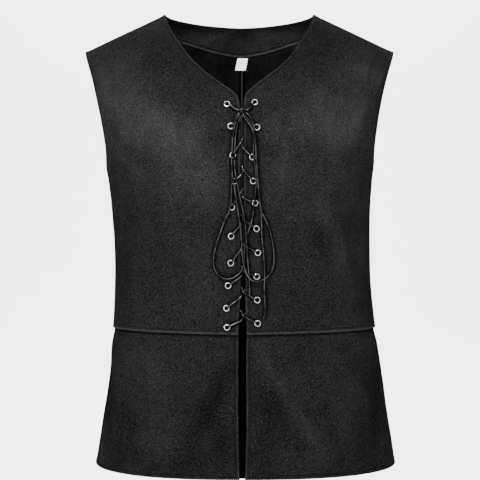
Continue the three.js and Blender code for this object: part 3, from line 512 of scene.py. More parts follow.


# The knot's wraps get less gloss than the rest of the lace.
knotWraps = addCord("knotWraps", wrapPath(**wraps["around"]), wax=0.25)
addCord("knotLock", wrapPath(**wraps["lock"]), wax=0.45)
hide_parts("bow_knot")
print("knot tied")


# Materials
def group(name, inputs, outputs):
    tree = bpy.data.node_groups.new(name, "ShaderNodeTree")
    for key, kind, value in inputs:
        socket = tree.interface.new_socket(name=key, in_out="INPUT", socket_type=kind)
        socket.default_value = value
    for key, kind in outputs:
        tree.interface.new_socket(name=key, in_out="OUTPUT", socket_type=kind)
    return tree, tree.nodes.new("NodeGroupInput"), tree.nodes.new("NodeGroupOutput")


def node(tree, kind, links=(), **settings):
    made = tree.nodes.new("ShaderNode" + kind)
    for key, value in settings.items():
        setattr(made, key, value)
    for socket, value in links:
        if isinstance(value, bpy.types.NodeSocket):
            tree.links.new(value, made.inputs[socket])
        else:
            made.inputs[socket].default_value = value
    return made


def maths(tree, operation, a, b=0.0, c=0.0):
    return node(tree, "Math", [(0, a), (1, b), (2, c)], operation=operation).outputs[0]


def blend(tree, share, low, high):
    return node(tree, "Mix", [(0, share), (6, low), (7, high)], data_type="RGBA").outputs[2]


def pointValue(tree, name):
    return node(tree, "Attribute", attribute_name=name).outputs["Fac"]


def noiseAt(tree, place, scale, detail, rough=0.5):
    links = [("Vector", place), ("Scale", scale), ("Detail", detail), ("Roughness", rough)]
    return node(tree, "TexNoise", links).outputs[0]


def grey(value, alpha=1):
    return (value, value, value, alpha)


def material(name, **sockets):
    made = bpy.data.materials.new(name)
    made.use_nodes = True
    shader = made.node_tree.nodes["Principled BSDF"]
    for key, value in sockets.items():
        shader.inputs[key].default_value = value
    return made, made.node_tree, shader


# The colour of a finish, and the height that its bump reads
def dress(tree, shader, colour, height, strength, distance):
    raised = node(tree, "Bump", [("Height", height), ("Strength", strength), ("Distance", distance)])
    tree.links.new(colour, shader.inputs["Base Color"])
    tree.links.new(raised.outputs[0], shader.inputs["Normal"])


# Noise sizes of the nap, each a scale, a detail and how much it counts
napNoise = {
    "broad": (13.0, 4.0, 1.3), "patchy": (48.0, 4.0, 0.40), "streak": (120.0, 4.0, 0.50),
    "fine": (400.0, 2.0, 0.5), "speck": (860.0, 1.0, 3.0),
}
napTone = {"base": 0.30, "least": 0.1, "skew": 1.5}  # light hairs stand out more than dark gaps
napRaise = {"grain": 0.4, "patchy": 1.6}
napLean = {"turn": (0, 0.5, 0), "stretch": (1, 1, 0.18)}  # the way the nap was brushed
# These point values carry painted light and shade along with the brushing: lighter rims and crease ridges,
# and shade in creases, under the waist overlap, along cords and low down inside.
napParts = {"NapAndShading": "napAndShading", "RimWearAndLight": "rim", "LinesAndShade": "sunk"}  # and the point values they read


# Brushed nap: broad mottling, streaks along the brushing, and a fine grain, with the painted light and shade
# that the point values bring
def napGroup():
    amounts = [(key, "NodeSocketFloat", 0.5) for key in ("Mottle", "Grain", *napParts)]
    tree, given, result = group(
        "napWithPaintedLight",
        [("Dark", "NodeSocketColor", grey(0.002)), ("Light", "NodeSocketColor", grey(0.02)), *amounts],
        [("Color", "NodeSocketColor"), ("Height", "NodeSocketFloat")])
    given = given.outputs
    place = node(tree, "TexCoord").outputs["Object"]
    leaning = node(tree, "Mapping", [("Vector", place), ("Rotation", napLean["turn"]),
                                     ("Scale", napLean["stretch"])]).outputs[0]
    amounts = {}
    for key, (scale, detail, weight) in napNoise.items():
        made = noiseAt(tree, leaning if key == "streak" else place, scale, detail, 0.6)
        amounts[key] = maths(tree, "MULTIPLY", maths(tree, "SUBTRACT", made, 0.5), weight)
    mottle = maths(tree, "ADD", maths(tree, "ADD", amounts["broad"], amounts["patchy"]), amounts["streak"])
    grain = maths(tree, "ADD", amounts["fine"], amounts["speck"])
    tone = maths(tree, "MULTIPLY_ADD", mottle, given["Mottle"], napTone["base"])
    part = {key: maths(tree, "MULTIPLY", pointValue(tree, read), given[key])
            for key, read in napParts.items()}
    shadedNap = maths(tree, "MAXIMUM", maths(tree, "ADD", part["NapAndShading"], 1.0), napTone["least"])
    tone = maths(tree, "ADD", maths(tree, "MULTIPLY", tone, shadedNap), part["RimWearAndLight"])
    tone = maths(tree, "SUBTRACT", tone, part["LinesAndShade"])
    tone = maths(tree, "MULTIPLY_ADD", grain, given["Grain"], tone)
    tone = maths(tree, "POWER", node(tree, "Clamp", [(0, tone)]).outputs[0], napTone["skew"])
    patchy = maths(tree, "MULTIPLY", amounts["patchy"], napRaise["patchy"])
    height = maths(tree, "MULTIPLY_ADD", grain, napRaise["grain"], patchy)
    tree.links.new(blend(tree, tone, given["Dark"], given["Light"]), result.inputs["Color"])
    tree.links.new(height, result.inputs["Height"])
    return tree


napWithPaintedLight = napGroup()
suedeKinds = {
    "suede": {"dark": 0.0005, "light": 0.0330, "rough": 0.88, "bump": 0.0005,
              "Mottle": 0.22, "Grain": 0.55, "NapAndShading": 1.0, "RimWearAndLight": 0.11, "LinesAndShade": 0.24},
    "suedeInside": {"dark": 0.0006, "light": 0.0190, "rough": 0.95, "bump": 0.0003,
                    "Mottle": 0.5, "Grain": 0.2, "NapAndShading": 1.0, "RimWearAndLight": 0.6, "LinesAndShade": 0.4},
    "facingSuede": {"dark": 0.0012, "light": 0.0370, "rough": 0.90, "bump": 0.0004,
                    "Mottle": 0.45, "Grain": 0.45, "NapAndShading": 1.0, "RimWearAndLight": 0.35, "LinesAndShade": 0.35},
}


def suedeMaterial(name):
    kind = suedeKinds[name]
    made, tree, shader = material(name, **{"Roughness": kind["rough"], "Specular IOR Level": 0.0})
    napAndShading = tree.nodes.new("ShaderNodeGroup")
    napAndShading.node_tree = napWithPaintedLight
    napAndShading.inputs["Dark"].default_value = grey(kind["dark"])
    napAndShading.inputs["Light"].default_value = grey(kind["light"])
    for key in ("Mottle", "Grain", *napParts):
        napAndShading.inputs[key].default_value = kind[key]
    dress(tree, shader, napAndShading.outputs["Color"], napAndShading.outputs["Height"], 1.0, kind["bump"])
    return made


# The label is bare woven tape.
tape = {"weft": 420.0, "rough": 0.75, "bump": 0.00015,
        "low": (0.90, 0.90, 0.89, 1), "high": (0.97, 0.97, 0.96, 1)}


def tapeMaterial():
    made, tree, shader = material("labelTape", Roughness=tape["rough"])
    place = node(tree, "UVMap", uv_map="cut").outputs[0]
    weft = node(tree, "TexWave", [("Vector", place), ("Scale", tape["weft"])], bands_direction="Y").outputs[1]
    dress(tree, shader, blend(tree, weft, tape["low"], tape["high"]), weft, 0.5, tape["bump"])
    return made


# The lace is a tight round braid, waxed black: its strands cross at a slant, and the wax
# shines in patches, with the gloss taken off as painted shade where the cord lies in shade.
braid = {"slants": (0.6, -0.6), "strand": 260.0, "uneven": 0.4, "low": 0.0002, "high": 0.0012,
         "rough": 0.6, "bump": 0.0001, "gloss": 0.22,
         "wax": [(1, 0.38), (2, 0.60), (3, 0.2), (4, 1.0)], "waxPatch": 85.0}


def laceMaterial():
    made, tree, shader = material("waxedLace", **{"Roughness": braid["rough"], "Specular IOR Level": 0.0,
                                                  "Coat Roughness": braid["gloss"]})
    run = node(tree, "UVMap", uv_map="cut").outputs[0]
    strands = []
    for slant in braid["slants"]:
        turned = node(tree, "Mapping", [("Vector", run), ("Rotation", (0, 0, slant))]).outputs[0]
        wave = node(tree, "TexWave", [("Vector", turned), ("Scale", braid["strand"]),
                                      ("Distortion", braid["uneven"])], bands_direction="Y")
        strands.append(wave.outputs[1])
    crossed = maths(tree, "MAXIMUM", *strands)
    worn = noiseAt(tree, node(tree, "TexCoord").outputs["Object"], braid["waxPatch"], 3.0)
    wax = node(tree, "MapRange", [(0, worn), *braid["wax"]]).outputs[0]
    coat = maths(tree, "MULTIPLY", wax, pointValue(tree, "glossWithPaintedShade"))
    tree.links.new(coat, shader.inputs["Coat Weight"])
    dress(tree, shader, blend(tree, crossed, grey(braid["low"]), grey(braid["high"])), crossed, 0.2,
          braid["bump"])
    return made


# Nickel, satin, with a little wear in its roughness and painted shade down the bore, near black
plating = {"spots": 900.0, "rough": [(3, 0.20), (4, 0.36)], "bore": 0.01,
           "low": (0.66, 0.65, 0.63, 1), "high": (0.86, 0.85, 0.83, 1)}


def nickelMaterial():
    made, tree, shader = material("nickel", Metallic=1.0)
    spots = noiseAt(tree, node(tree, "TexCoord").outputs["Object"], plating["spots"], 3.0)
    rough = node(tree, "MapRange", [(0, spots), *plating["rough"]])
    tone = blend(tree, spots, plating["low"], plating["high"])
    tone = blend(tree, pointValue(tree, "bore"), tone, grey(plating["bore"]))
    tree.links.new(tone, shader.inputs["Base Color"])
    tree.links.new(rough.outputs[0], shader.inputs["Roughness"])
    return made


suede, suedeInside, facingSuede = (suedeMaterial(name) for name in suedeKinds)
thread, *_ = material("thread", **{"Base Color": (0.010, 0.010, 0.0105, 1), "Roughness": 0.6,
                                   "Specular IOR Level": 0.1})
labelTape, waxedLace, nickel = tapeMaterial(), laceMaterial(), nickelMaterial()
print("materials mixed")

# Creases, placed in the front view, in mm: x and z of where each starts, bends and ends;
# the width; the lift, less than nothing for a trough; and last, as a share of the width, how
# wide its far side is.
bodiceFrontCreases = [
    (-226, -52, -205, -82, -198, -118, 6, 1.6, 0.6), (-214, -40, -196, -66, -186, -100, 5.5, -1.3, 0.7),
    (-206, -98, -186, -128, -150, -168, 9, 1.4, 0.7),
    (-204, -150, -180, -178, -146, -204, 8.5, -1.3, 0.8),
    (-196, -186, -165, -212, -122, -236, 10, 1.5, 0.7), (-130, -90, -112, -112, -86, -132, 11, -1.2, 0.9),
    (-95, -40, -90, -75, -70, -110, 10, 1, 0.9), (-176, -262, -164, -300, -168, -352, 9, -1.4, 0.7),
    (-188, -300, -180, -345, -184, -400, 7, 1.5, 0.6), (-120, -330, -108, -372, -112, -420, 11, 1.2, 0.8),
    (-72, -250, -84, -290, -80, -336, 11, -0.9, 1), (-60, -200, -40, -215, -20, -213, 7, -1, 0.9),
    (-52, -300, -38, -312, -20, -314, 6, -0.9, 0.9), (220, -52, 202, -84, 193, -120, 6, 1.6, 0.6),
    (206, -42, 190, -70, 182, -104, 5.5, -1.3, 0.7), (198, -100, 176, -132, 144, -170, 9, 1.5, 0.7),
    (194, -156, 168, -184, 138, -206, 8.5, -1.4, 0.8), (190, -196, 158, -226, 128, -240, 10, 1.3, 0.7),
    (118, -62, 106, -96, 84, -122, 11, -1.4, 0.9), (134, -262, 146, -316, 158, -386, 7.5, 2.6, 0.5),
    (121, -270, 130, -325, 140, -390, 8, -2.2, 0.7), (180, -290, 172, -340, 182, -396, 8, 1.4, 0.6),
    (98, -330, 92, -376, 100, -424, 11, 1.2, 0.8), (66, -190, 44, -204, 22, -203, 7, -1, 0.9),
    (62, -345, 46, -343, 28, -338, 6, -0.9, 0.9),
]
peplumFrontCreases = [
    (18, -470, 56, -530, 92, -612, 8, 2.4, 0.6), (32, -520, 52, -560, 66, -600, 8.5, -2.2, 0.8),
    (50, -468, 88, -524, 136, -624, 9.5, 1.8, 0.7), (72, -500, 104, -560, 124, -640, 9, -1.8, 0.8),
    (196, -500, 204, -540, 206, -600, 7.5, -2.2, 0.7), (176, -520, 186, -570, 184, -640, 8, 1.8, 0.6),
    (150, -480, 160, -530, 160, -590, 11, 1.2, 0.8), (-16, -496, -50, -560, -78, -636, 9, -2.4, 0.8),
    (-34, -480, -70, -548, -104, -640, 8.5, 1.9, 0.6), (-12, -590, -30, -618, -56, -646, 8, -1.4, 0.8),
    (-130, -470, -136, -530, -128, -610, 12, 1.4, 0.8),
    (-200, -488, -208, -540, -204, -610, 7.5, -2.4, 0.7),
    (-180, -510, -190, -570, -190, -645, 8, 1.8, 0.6),
    (-160, -560, -168, -600, -164, -650, 10, -1.2, 0.8),
]
bodiceBackCreases = [
    (-222, -56, -196, -92, -176, -142, 7, 1.7, 0.6), (-200, -46, -178, -84, -158, -130, 7.5, -1.5, 0.7),
    (-196, -180, -158, -206, -112, -232, 10, 1.6, 0.7),
    (-150, -262, -120, -310, -104, -380, 11, -1.6, 0.8), (-60, -330, -40, -372, -36, -430, 10, 1.4, 0.7),
    (-184, -310, -176, -360, -182, -420, 8, 1.5, 0.6), (216, -56, 190, -94, 170, -146, 7, 1.8, 0.6),
    (194, -48, 170, -86, 148, -128, 7.5, -1.5, 0.7), (190, -190, 150, -214, 104, -228, 10, 1.5, 0.7),
    (164, -262, 148, -316, 158, -384, 10, -1.7, 0.8), (70, -320, 56, -366, 62, -420, 11, 1.4, 0.7),
    (180, -330, 172, -374, 180, -430, 8, 1.4, 0.6), (-16, -60, -30, -100, -24, -150, 13, -1, 1),
    (60, -90, 70, -130, 58, -180, 13, 1, 1),
]
peplumBackCreases = [
    (-30, -474, -52, -550, -60, -650, 10, 2.2, 0.7), (-90, -480, -110, -550, -124, -650, 9.5, -2, 0.8),
    (-160, -490, -176, -560, -176, -640, 9, 1.8, 0.6), (36, -480, 50, -556, 66, -660, 10, -2.1, 0.8),
    (96, -470, 116, -550, 130, -648, 9.5, 2.2, 0.6), (170, -500, 184, -560, 186, -640, 8.5, -1.9, 0.7),
    (10, -560, 22, -610, 20, -680, 11, 1.4, 0.8),
]
# Where the nap is lighter or darker, partly from the brushing and partly painted light and shade: lighter
# across the chest and upper back, darker low down, at the sides and towards the hem. x, z, half width and
# half height in mm, then the slant and the amount, which have no unit.
frontNapAndShading = [
    (-190, -125, 20, 30, 0, -0.18), (-90, -134, 22, 20, 0, -0.14), (55, -134, 25, 20, 0, -0.2),
    (-170, -400, 14, 60, 0, -0.26), (-95, -387, 20, 30, 0, -0.16), (110, -290, 18, 30, 0, 0.22),
    (-65, -632, 30, 18, 0, -0.3), (-28, -600, 18, 35, 0, -0.24), (32, -620, 22, 30, 0, -0.24),
    (66, -560, 14, 26, -0.3, -0.2), (88, -606, 12, 20, -0.3, -0.22), (-135, -635, 40, 15, 0, -0.22),
    (-70, -60, 16, 30, -0.4, 0.16), (-45, -10, 12, 16, -0.4, 0.3), (130, -650, 50, 14, 0, -0.12),
    (-150, -560, 20, 70, 0, -0.12), (118, -12, 60, 30, 0.2, -0.1), (-200, -590, 24, 60, 0, -0.2),
    (-150, -130, 50, 50, -0.5, 0.37), (-104, -165, 45, 40, -0.5, 0.33), (-115, -232, 75, 45, 0, 0.15),
    (112, -235, 70, 45, 0, 0.12), (150, -178, 30, 30, 0, 0.26), (100, -160, 50, 30, 0, 0.2),
    (-165, -180, 35, 30, 0, 0.16), (100, 2, 30, 22, 0, -0.26), (-110, -655, 110, 18, 0, -0.14),
    (100, -655, 110, 18, 0, -0.12), (-28, -560, 22, 70, 0.2, -0.1), (28, -580, 22, 70, 0, -0.12),
    (54, -555, 14, 35, -0.3, -0.18), (-65, -215, 32, 50, -0.2, 0.3), (-195, -100, 22, 40, 0, 0.28),
    (-150, -20, 60, 22, 0, -0.22), (-85, -55, 50, 35, -0.4, -0.28), (-130, -62, 40, 16, 0, -0.15),
    (-40, -100, 30, 25, -0.8, -0.1), (-160, -270, 45, 45, 0, -0.18), (-110, -372, 36, 50, 0, -0.15),
    (-66, -340, 26, 60, 0, 0.15), (-185, -330, 15, 110, 0, -0.12), (115, -130, 55, 35, -0.2, 0.42),
    (160, -120, 28, 50, 0.1, 0.37), (60, -160, 35, 30, 0, 0.31), (185, -75, 30, 25, 0, 0.24),
    (110, -45, 50, 25, 0.4, -0.22), (50, -85, 30, 20, 0.6, -0.15), (50, -215, 35, 45, 0, 0.2),
    (135, -220, 20, 40, -0.2, 0.12), (134, -320, 10, 60, -0.28, 0.28), (113, -320, 9, 50, -0.26, -0.25),
    (85, -340, 30, 70, 0, -0.08), (185, -330, 15, 110, 0, 0.04), (-150, -490, 35, 35, 0, 0.08),
    (-180, -476, 14, 20, 0, -0.12), (-195, -560, 16, 60, 0, -0.25), (-172, -590, 14, 50, 0, -0.11),
    (-35, -530, 16, 40, 0.4, -0.25), (-72, -590, 22, 55, 0.4, -0.17), (-20, -615, 12, 30, 0, -0.12),
    (-110, -560, 20, 60, 0.1, -0.05), (35, -560, 16, 40, -0.4, -0.22), (75, -612, 18, 30, -0.4, -0.23),
    (52, -520, 9, 50, -0.58, 0.19), (105, -605, 11, 35, -0.7, 0.2), (78, -510, 8, 40, -0.55, 0.1),
    (122, -580, 10, 30, -0.5, -0.11), (195, -560, 16, 60, 0, -0.2), (170, -600, 14, 40, 0, -0.13),
    (150, -632, 30, 12, 0, -0.12), (165, -520, 12, 40, -0.2, 0.06),
]
backNapAndShading = [
    (-120, -140, 60, 50, 0.5, 0.39), (126, -130, 55, 45, -0.5, 0.37), (-60, -200, 40, 50, 0.2, 0.25),
    (66, -190, 40, 50, -0.2, 0.22), (-140, -20, 60, 22, 0, -0.2), (140, -22, 60, 22, 0, -0.2),
    (-180, -300, 18, 100, 0, -0.2), (178, -300, 18, 100, 0, -0.18), (10, -280, 40, 50, 0, -0.12),
    (-84, -350, 40, 50, 0, 0.1), (150, -330, 10, 50, 0.2, 0.26), (-110, -340, 10, 50, -0.2, -0.18),
    (-62, -560, 10, 60, 0.2, 0.16), (-120, -590, 20, 50, 0.3, -0.18), (50, -570, 18, 55, -0.3, -0.19),
    (118, -560, 11, 60, -0.3, 0.17), (-195, -560, 16, 60, 0, -0.22), (195, -560, 16, 60, 0, -0.22),
    (0, -640, 30, 30, 0, -0.12), (90, -620, 20, 30, -0.3, -0.13),
]
far = 9.0  # further than anything on the vest


def creaseLift(creases, points):
    total = np.zeros(points.shape[:-1])
    seen = points[..., [0, 2]]
    t = np.linspace(0, 1, 18)[:, None]
    for *places, width, lift, steep in creases:
        start, by, end = np.array(places).reshape(3, 2) / 1000
        line = (1 - t) ** 2 * start + 2 * t * (1 - t) * by + t**2 * end
        best = np.full(total.shape, far)
        share, hand = np.zeros(total.shape), np.zeros(total.shape)
        for k in range(len(line) - 1):
            run = line[k + 1] - line[k]
            away = seen - line[k]
            along = np.clip(away @ run / (run @ run), 0, 1)
            gap = np.linalg.norm(away - along[..., None] * run, axis=-1)
            near = gap < best
            best = np.where(near, gap, best)
            share = np.where(near, (k + along) / (len(line) - 1), share)
            hand = np.where(near, run[0] * away[..., 1] - run[1] * away[..., 0], hand)
        wide = np.where(hand > 0, width, width * steep) / 1000
        total += lift / 1000 * bump(best, 0, wide) * smooth(share, 0, 0.35) * (1 - smooth(share, 0.6, 1.0))
    return total


def patches(table, points):
    total = np.zeros(points.shape[:-1])
    for *sizes, slant, amount in table:
        x, z, wide, high = np.array(sizes) / 1000
        rise = points[..., 2] - z
        total += amount * bump(points[..., 0], x + slant * rise, wide) * bump(rise, 0, high)
    return total


def softNoise(points, size, seed):
    flat = points.reshape(-1, 3) / size + seed
    return np.array([noise.noise(Vector(p)) for p in flat]).reshape(points.shape[:-1])


def distanceTo(points, line):
    best = np.full(points.shape[:-1], far)
    for a, b in zip(line[:-1], line[1:]):
        run = b - a
        size = run @ run
        if size > 0:
            away = points - a
            along = np.clip(away @ run / size, 0, 1)
            best = np.minimum(best, np.linalg.norm(away - along[..., None] * run, axis=-1))
    return best


# How an edge is sewn, all in metres
edging = {"stitch": 0.0050, "fold": 0.0088, "foldSoft": 0.0006, "bulge": 0.00045, "groove": 0.00055,
          "grooveWide": 0.0007, "puff": 0.00035, "puffAt": 0.0026, "puffWide": 0.0015, "round": 0.0011}
seaming = {"groove": 0.0010, "grooveWide": 0.0013, "puff": 0.0003, "puffAt": 0.0045, "puffWide": 0.0025}
# Tones near edges, creases and cords: a lighter rim at turned edges, part rubbed nap and part painted
# highlight; a painted highlight along the raised waist band; dark stitch and seam lines; a painted shadow on
# the peplum under the waist overlap; painted shade along cords and round eyelets; and painted shade low down
# inside
edgeTone = {"rimAt": 0.0014, "rimWide": 0.0014, "bandAt": 0.0024, "bandWide": 0.0023, "bandLight": 1.5,
            "lineWide": 0.0009, "seamWide": 0.0014, "shadeAt": 0.0060, "shadeWide": 0.0013, "shade": 1.6,
            "creaseShading": 70, "cord": 0.0034, "cordShade": 1.2, "ring": 0.0055, "ringShade": 1.0,
            "dim": (0.20, 0.38), "dimmed": -0.85}  # little light reaches low down inside
ridge = {"at": 0.0007, "wide": 0.0010, "high": 0.0009, "groove": 0.0032, "grooveWide": 0.0013}
edgeSteps = np.array([0, 0.12, 0.35, 0.7, 1.1, 1.7, 2.5, 3.4, 4.1, 4.6, 5.0, 5.4, 5.9, 6.8, 7.9, 8.5,
                      9.3, 11]) / 1000
sheetFinish = {"outer": 0.0010, "inner": -0.0007, "wave": 0.00055, "waveSize": 0.055, "ripple": 0.35,
               "finer": 2.6, "heldFor": 0.012, "heldLift": 0.25}


def turnedEdge(gap):
    lift = edging["bulge"] * (1 - smooth(gap, edging["fold"] - edging["foldSoft"],
                                         edging["fold"] + edging["foldSoft"]))
    lift -= edging["groove"] * bump(gap, edging["stitch"], edging["grooveWide"])
    return lift + edging["puff"] * bump(gap, edging["puffAt"], edging["puffWide"])


def seamEdge(gap):
    return (seaming["puff"] * bump(gap, seaming["puffAt"], seaming["puffWide"])
            - seaming["groove"] * bump(gap, 0, seaming["grooveWide"]))


# How full the cloth is near a rounded edge, from nearly nothing at the edge to 1
def roundedEdge(gap, width, least):
    return np.sqrt(np.maximum(1 - (1 - np.clip(gap / width, 0, 1)) ** 2, least))


evenedRows, leastLean = 13, 0.4  # how an edge's steps are evened out from row to row


# Shares across each row: fine near both ends, even between them
def acrossShares(piece, rises, middle):
    ends = []
    for end, step in ((0.0, 0.01), (1.0, -0.01)):
        start = clothPoint(piece, rises, np.full(len(rises), end))
        run = clothPoint(piece, rises, np.full(len(rises), end + step)) - start
        along = unit(np.gradient(start, axis=0))
        lean = np.linalg.norm(np.cross(unit(run), along), axis=1)
        padded = np.pad(np.clip(lean, leastLean, 1), evenedRows // 2, mode="edge")
        lean = np.convolve(padded, np.ones(evenedRows) / evenedRows, mode="valid")
        share = abs(step) / np.maximum(np.linalg.norm(run, axis=1), 1e-9)
        ends.append(edgeSteps[None, :] * (share / lean)[:, None])
    low, high = ends[0], 1 - ends[1][:, ::-1]
    between = np.linspace(0, 1, middle + 2)[1:-1]
    return np.hstack([low, low[:, -1:] + (high[:, :1] - low[:, -1:]) * between, high])


# Painted shade on the nap along the cords and round the eyelets, where they shadow the cloth
def cordAndEyeletShade(points):
    tops = np.vstack(cordTops)
    tree = kdtree.KDTree(len(tops))
    for i, (x, _, z) in enumerate(tops):
        tree.insert((x, 0, z), i)
    tree.balance()
    near = np.array([tree.find((x, 0, z))[2] for x, _, z in points.reshape(-1, 3)])
    return np.maximum(edgeTone["cordShade"] * bump(near.reshape(points.shape[:-1]), 0, edgeTone["cord"]),
                      edgeTone["ringShade"] * bump(eyeletGap(points), 0, edgeTone["ring"]))


# A closed sheet from its two sides, each a grid of points; layers gives each side's values.
def addSheet(name, first, second, uv, layers):
    rows, cols = first.shape[:2]
    count = rows * cols
    index = np.arange(count).reshape(rows, cols)
    a, b, c, d = index[:-1, :-1], index[:-1, 1:], index[1:, 1:], index[1:, :-1]
    faces = np.stack([a, b, c, d], -1).reshape(-1, 4).tolist()
    faces += (np.stack([d, c, b, a], -1).reshape(-1, 4) + count).tolist()
    loop = [*index[0], *index[1:, -1], *index[-1, -2::-1], *index[-2:0:-1, 0]]
    faces += [(n, v, v + count, n + count) for v, n in zip(loop, loop[1:] + loop[:1])]
    floats = {key: np.concatenate([side.ravel() for side in sides]) for key, sides in layers.items()}
    return addMesh(name, np.vstack([first.reshape(-1, 3), second.reshape(-1, 3)]), faces,
                   np.vstack([uv, uv]), floats)


# How far each point is from the panel's edges, and its turned edges to be stitched
def edgeGaps(piece, base):
    gaps = {kind: np.full(base.shape[:2], far) for kind in ("turned", "seam", "bandLight", "tuck", "ridge")}
    borders = {"inner": base[:, 0], "outer": base[:, -1], "low": base[0], "top": base[-1]}
    rises, bodice = piece["rises"], piece["top"] == 2
    lines = []
    for border, kind, first, last in piece["edges"]:
        line = borders[border]
        if first is not None:
            line = line[(rises >= first - 1e-6) & (rises <= last + 1e-6)]
        gap = distanceTo(base, line)
        gaps[kind] = np.minimum(gaps[kind], gap)
        if kind == "turned":
            lines.append((border, first, last, gap))
        if bodice and (border, kind) == ("low", "turned"):
            gaps["bandLight"] = gap
        if bodice and (border, kind) == ("inner", "seam"):
            gaps["ridge"] = gap
    if not bodice:
        gaps["tuck"] = distanceTo(base, borders["top"])
    return gaps, lines


# The values that the nap reads, outside and inside, with the painted light and shade they carry
def napLayers(piece, base, gaps, folded):
    # Painted light on crease and fold ridges and painted shade in their troughs, added to the patches
    shadedNap = patches(piece["napAndShading"], base) + edgeTone["creaseShading"] * (folded + foldLift(piece["face"], base) / 2)
    # Lighter along turned edges, part rubbed nap and part painted highlight, and a painted highlight along
    # the raised waist band
    rim = (bump(gaps["turned"], edgeTone["rimAt"], edgeTone["rimWide"])
           + edgeTone["bandLight"] * bump(gaps["bandLight"], edgeTone["bandAt"], edgeTone["bandWide"]))
    # Dark stitch and seam lines, part thread and joint and part painted shade in their grooves, and a painted
    # shadow on the peplum under the bodice's overlap
    sunk = (bump(gaps["turned"], edging["stitch"], edgeTone["lineWide"])
            + bump(gaps["seam"], 0, edgeTone["seamWide"])
            + edgeTone["shade"] * bump(gaps["tuck"], edgeTone["shadeAt"], edgeTone["shadeWide"]))
    # Painted shade along the cords and round the eyelets
    if piece["face"] < 0 and piece["top"] == 2:
        sunk += cordAndEyeletShade(base)
    # Inside: painted shade that darkens low down, a painted highlight on the centre-back seam ridge and
    # painted shade in the groove beside it
    dim = edgeTone["dimmed"] * smooth(-base[..., 2], *edgeTone["dim"])
    return {"napAndShading": (shadedNap, dim),
            "rim": (rim, bump(gaps["ridge"], ridge["at"], ridge["wide"])),
            "sunk": (sunk, bump(gaps["ridge"], ridge["groove"], ridge["grooveWide"]))}


panels = {}


# One cut panel of the vest
def addPanel(name, piece):
    rises = piece["rises"]
    base, normal = clothFrame(piece, rises[:, None], acrossShares(piece, rises, piece["middle"]))
    gaps, lines = edgeGaps(piece, base)
    free = smooth(np.minimum(gaps["turned"], gaps["seam"]), 0.0, sheetFinish["heldFor"])
    folded = creaseLift(piece["creases"], base)
    size, seed = sheetFinish["waveSize"], piece["seed"] + piece["side"]
    waved = sheetFinish["wave"] * (softNoise(base, size, seed) + sheetFinish["ripple"]
                                   * softNoise(base, size / sheetFinish["finer"], seed + 7))
    held = sheetFinish["heldLift"]
    middleLift = (sheetFinish["outer"] + sheetFinish["inner"]) / 2
    halfWall = (sheetFinish["outer"] - sheetFinish["inner"]) / 2
    lift = (folded + waved) * (held + (1 - held) * free) + middleLift
    detail = turnedEdge(gaps["turned"]) + seamEdge(gaps["seam"])
    rounding = roundedEdge(gaps["turned"], edging["round"], 0.02)
    pressed = ridge["high"] * bump(gaps["ridge"], ridge["at"], ridge["wide"])
    outer = base + normal * (lift + (halfWall + detail) * rounding)[..., None]
    inner = base + normal * (lift - halfWall * rounding - pressed)[..., None]
    rows, cols = base.shape[:2]
    up, over = (np.linalg.norm(np.diff(base, axis=k), axis=2) for k in (0, 1))
    up = np.vstack([np.zeros(cols), np.cumsum(up, axis=0)])
    over = np.hstack([np.zeros((rows, 1)), np.cumsum(over, axis=1)])
    uv = np.stack([over, up], axis=-1).reshape(-1, 2)
    panel = addSheet(name, outer, inner, uv, napLayers(piece, base, gaps, folded))
    inside = np.zeros(len(panel.data.polygons), dtype=np.int32)
    inside[(rows - 1) * (cols - 1):2 * (rows - 1) * (cols - 1)] = 1
    for made in (suede, suedeInside):
        panel.data.materials.append(made)
    panel.data.polygons.foreach_set("material_index", inside)
    panels[name] = {"object": panel, "outer": outer, "normal": normal, "lines": lines, "rises": rises,
                    "flat": piece["flat"], "area": piece["area"]}
    print(name, len(panel.data.polygons), "faces")
    return panel


neckStart = 1.5 + float(neckTurn(1.0)) / math.pi
rowSpan = {"waist": 0.236, "shoulder": 0.36, "hem": 0.205}  # metres of cloth to 1 of rise there
shoulderStop = 2 - edgeSteps[-1] / rowSpan["shoulder"]


# Rows of a bodice panel: fine at the waist and at the shoulder seam, even between the stops
def bodiceRows(*stops):
    low, high = edgeSteps / rowSpan["waist"], 2 - edgeSteps[:-1][::-1][::2] / rowSpan["shoulder"]
    ends = [low[-1], *(stop for stop, _ in stops)]
    parts = [np.linspace(a, b, count + 1)[1:] for a, b, (_, count) in zip(ends, ends[1:], stops)]
    return np.concatenate([low, *parts, high])


hemRows = edgeSteps / rowSpan["hem"]
peplumRises = np.concatenate([hemRows, np.linspace(hemRows[-1], 1, 58)[1:]])
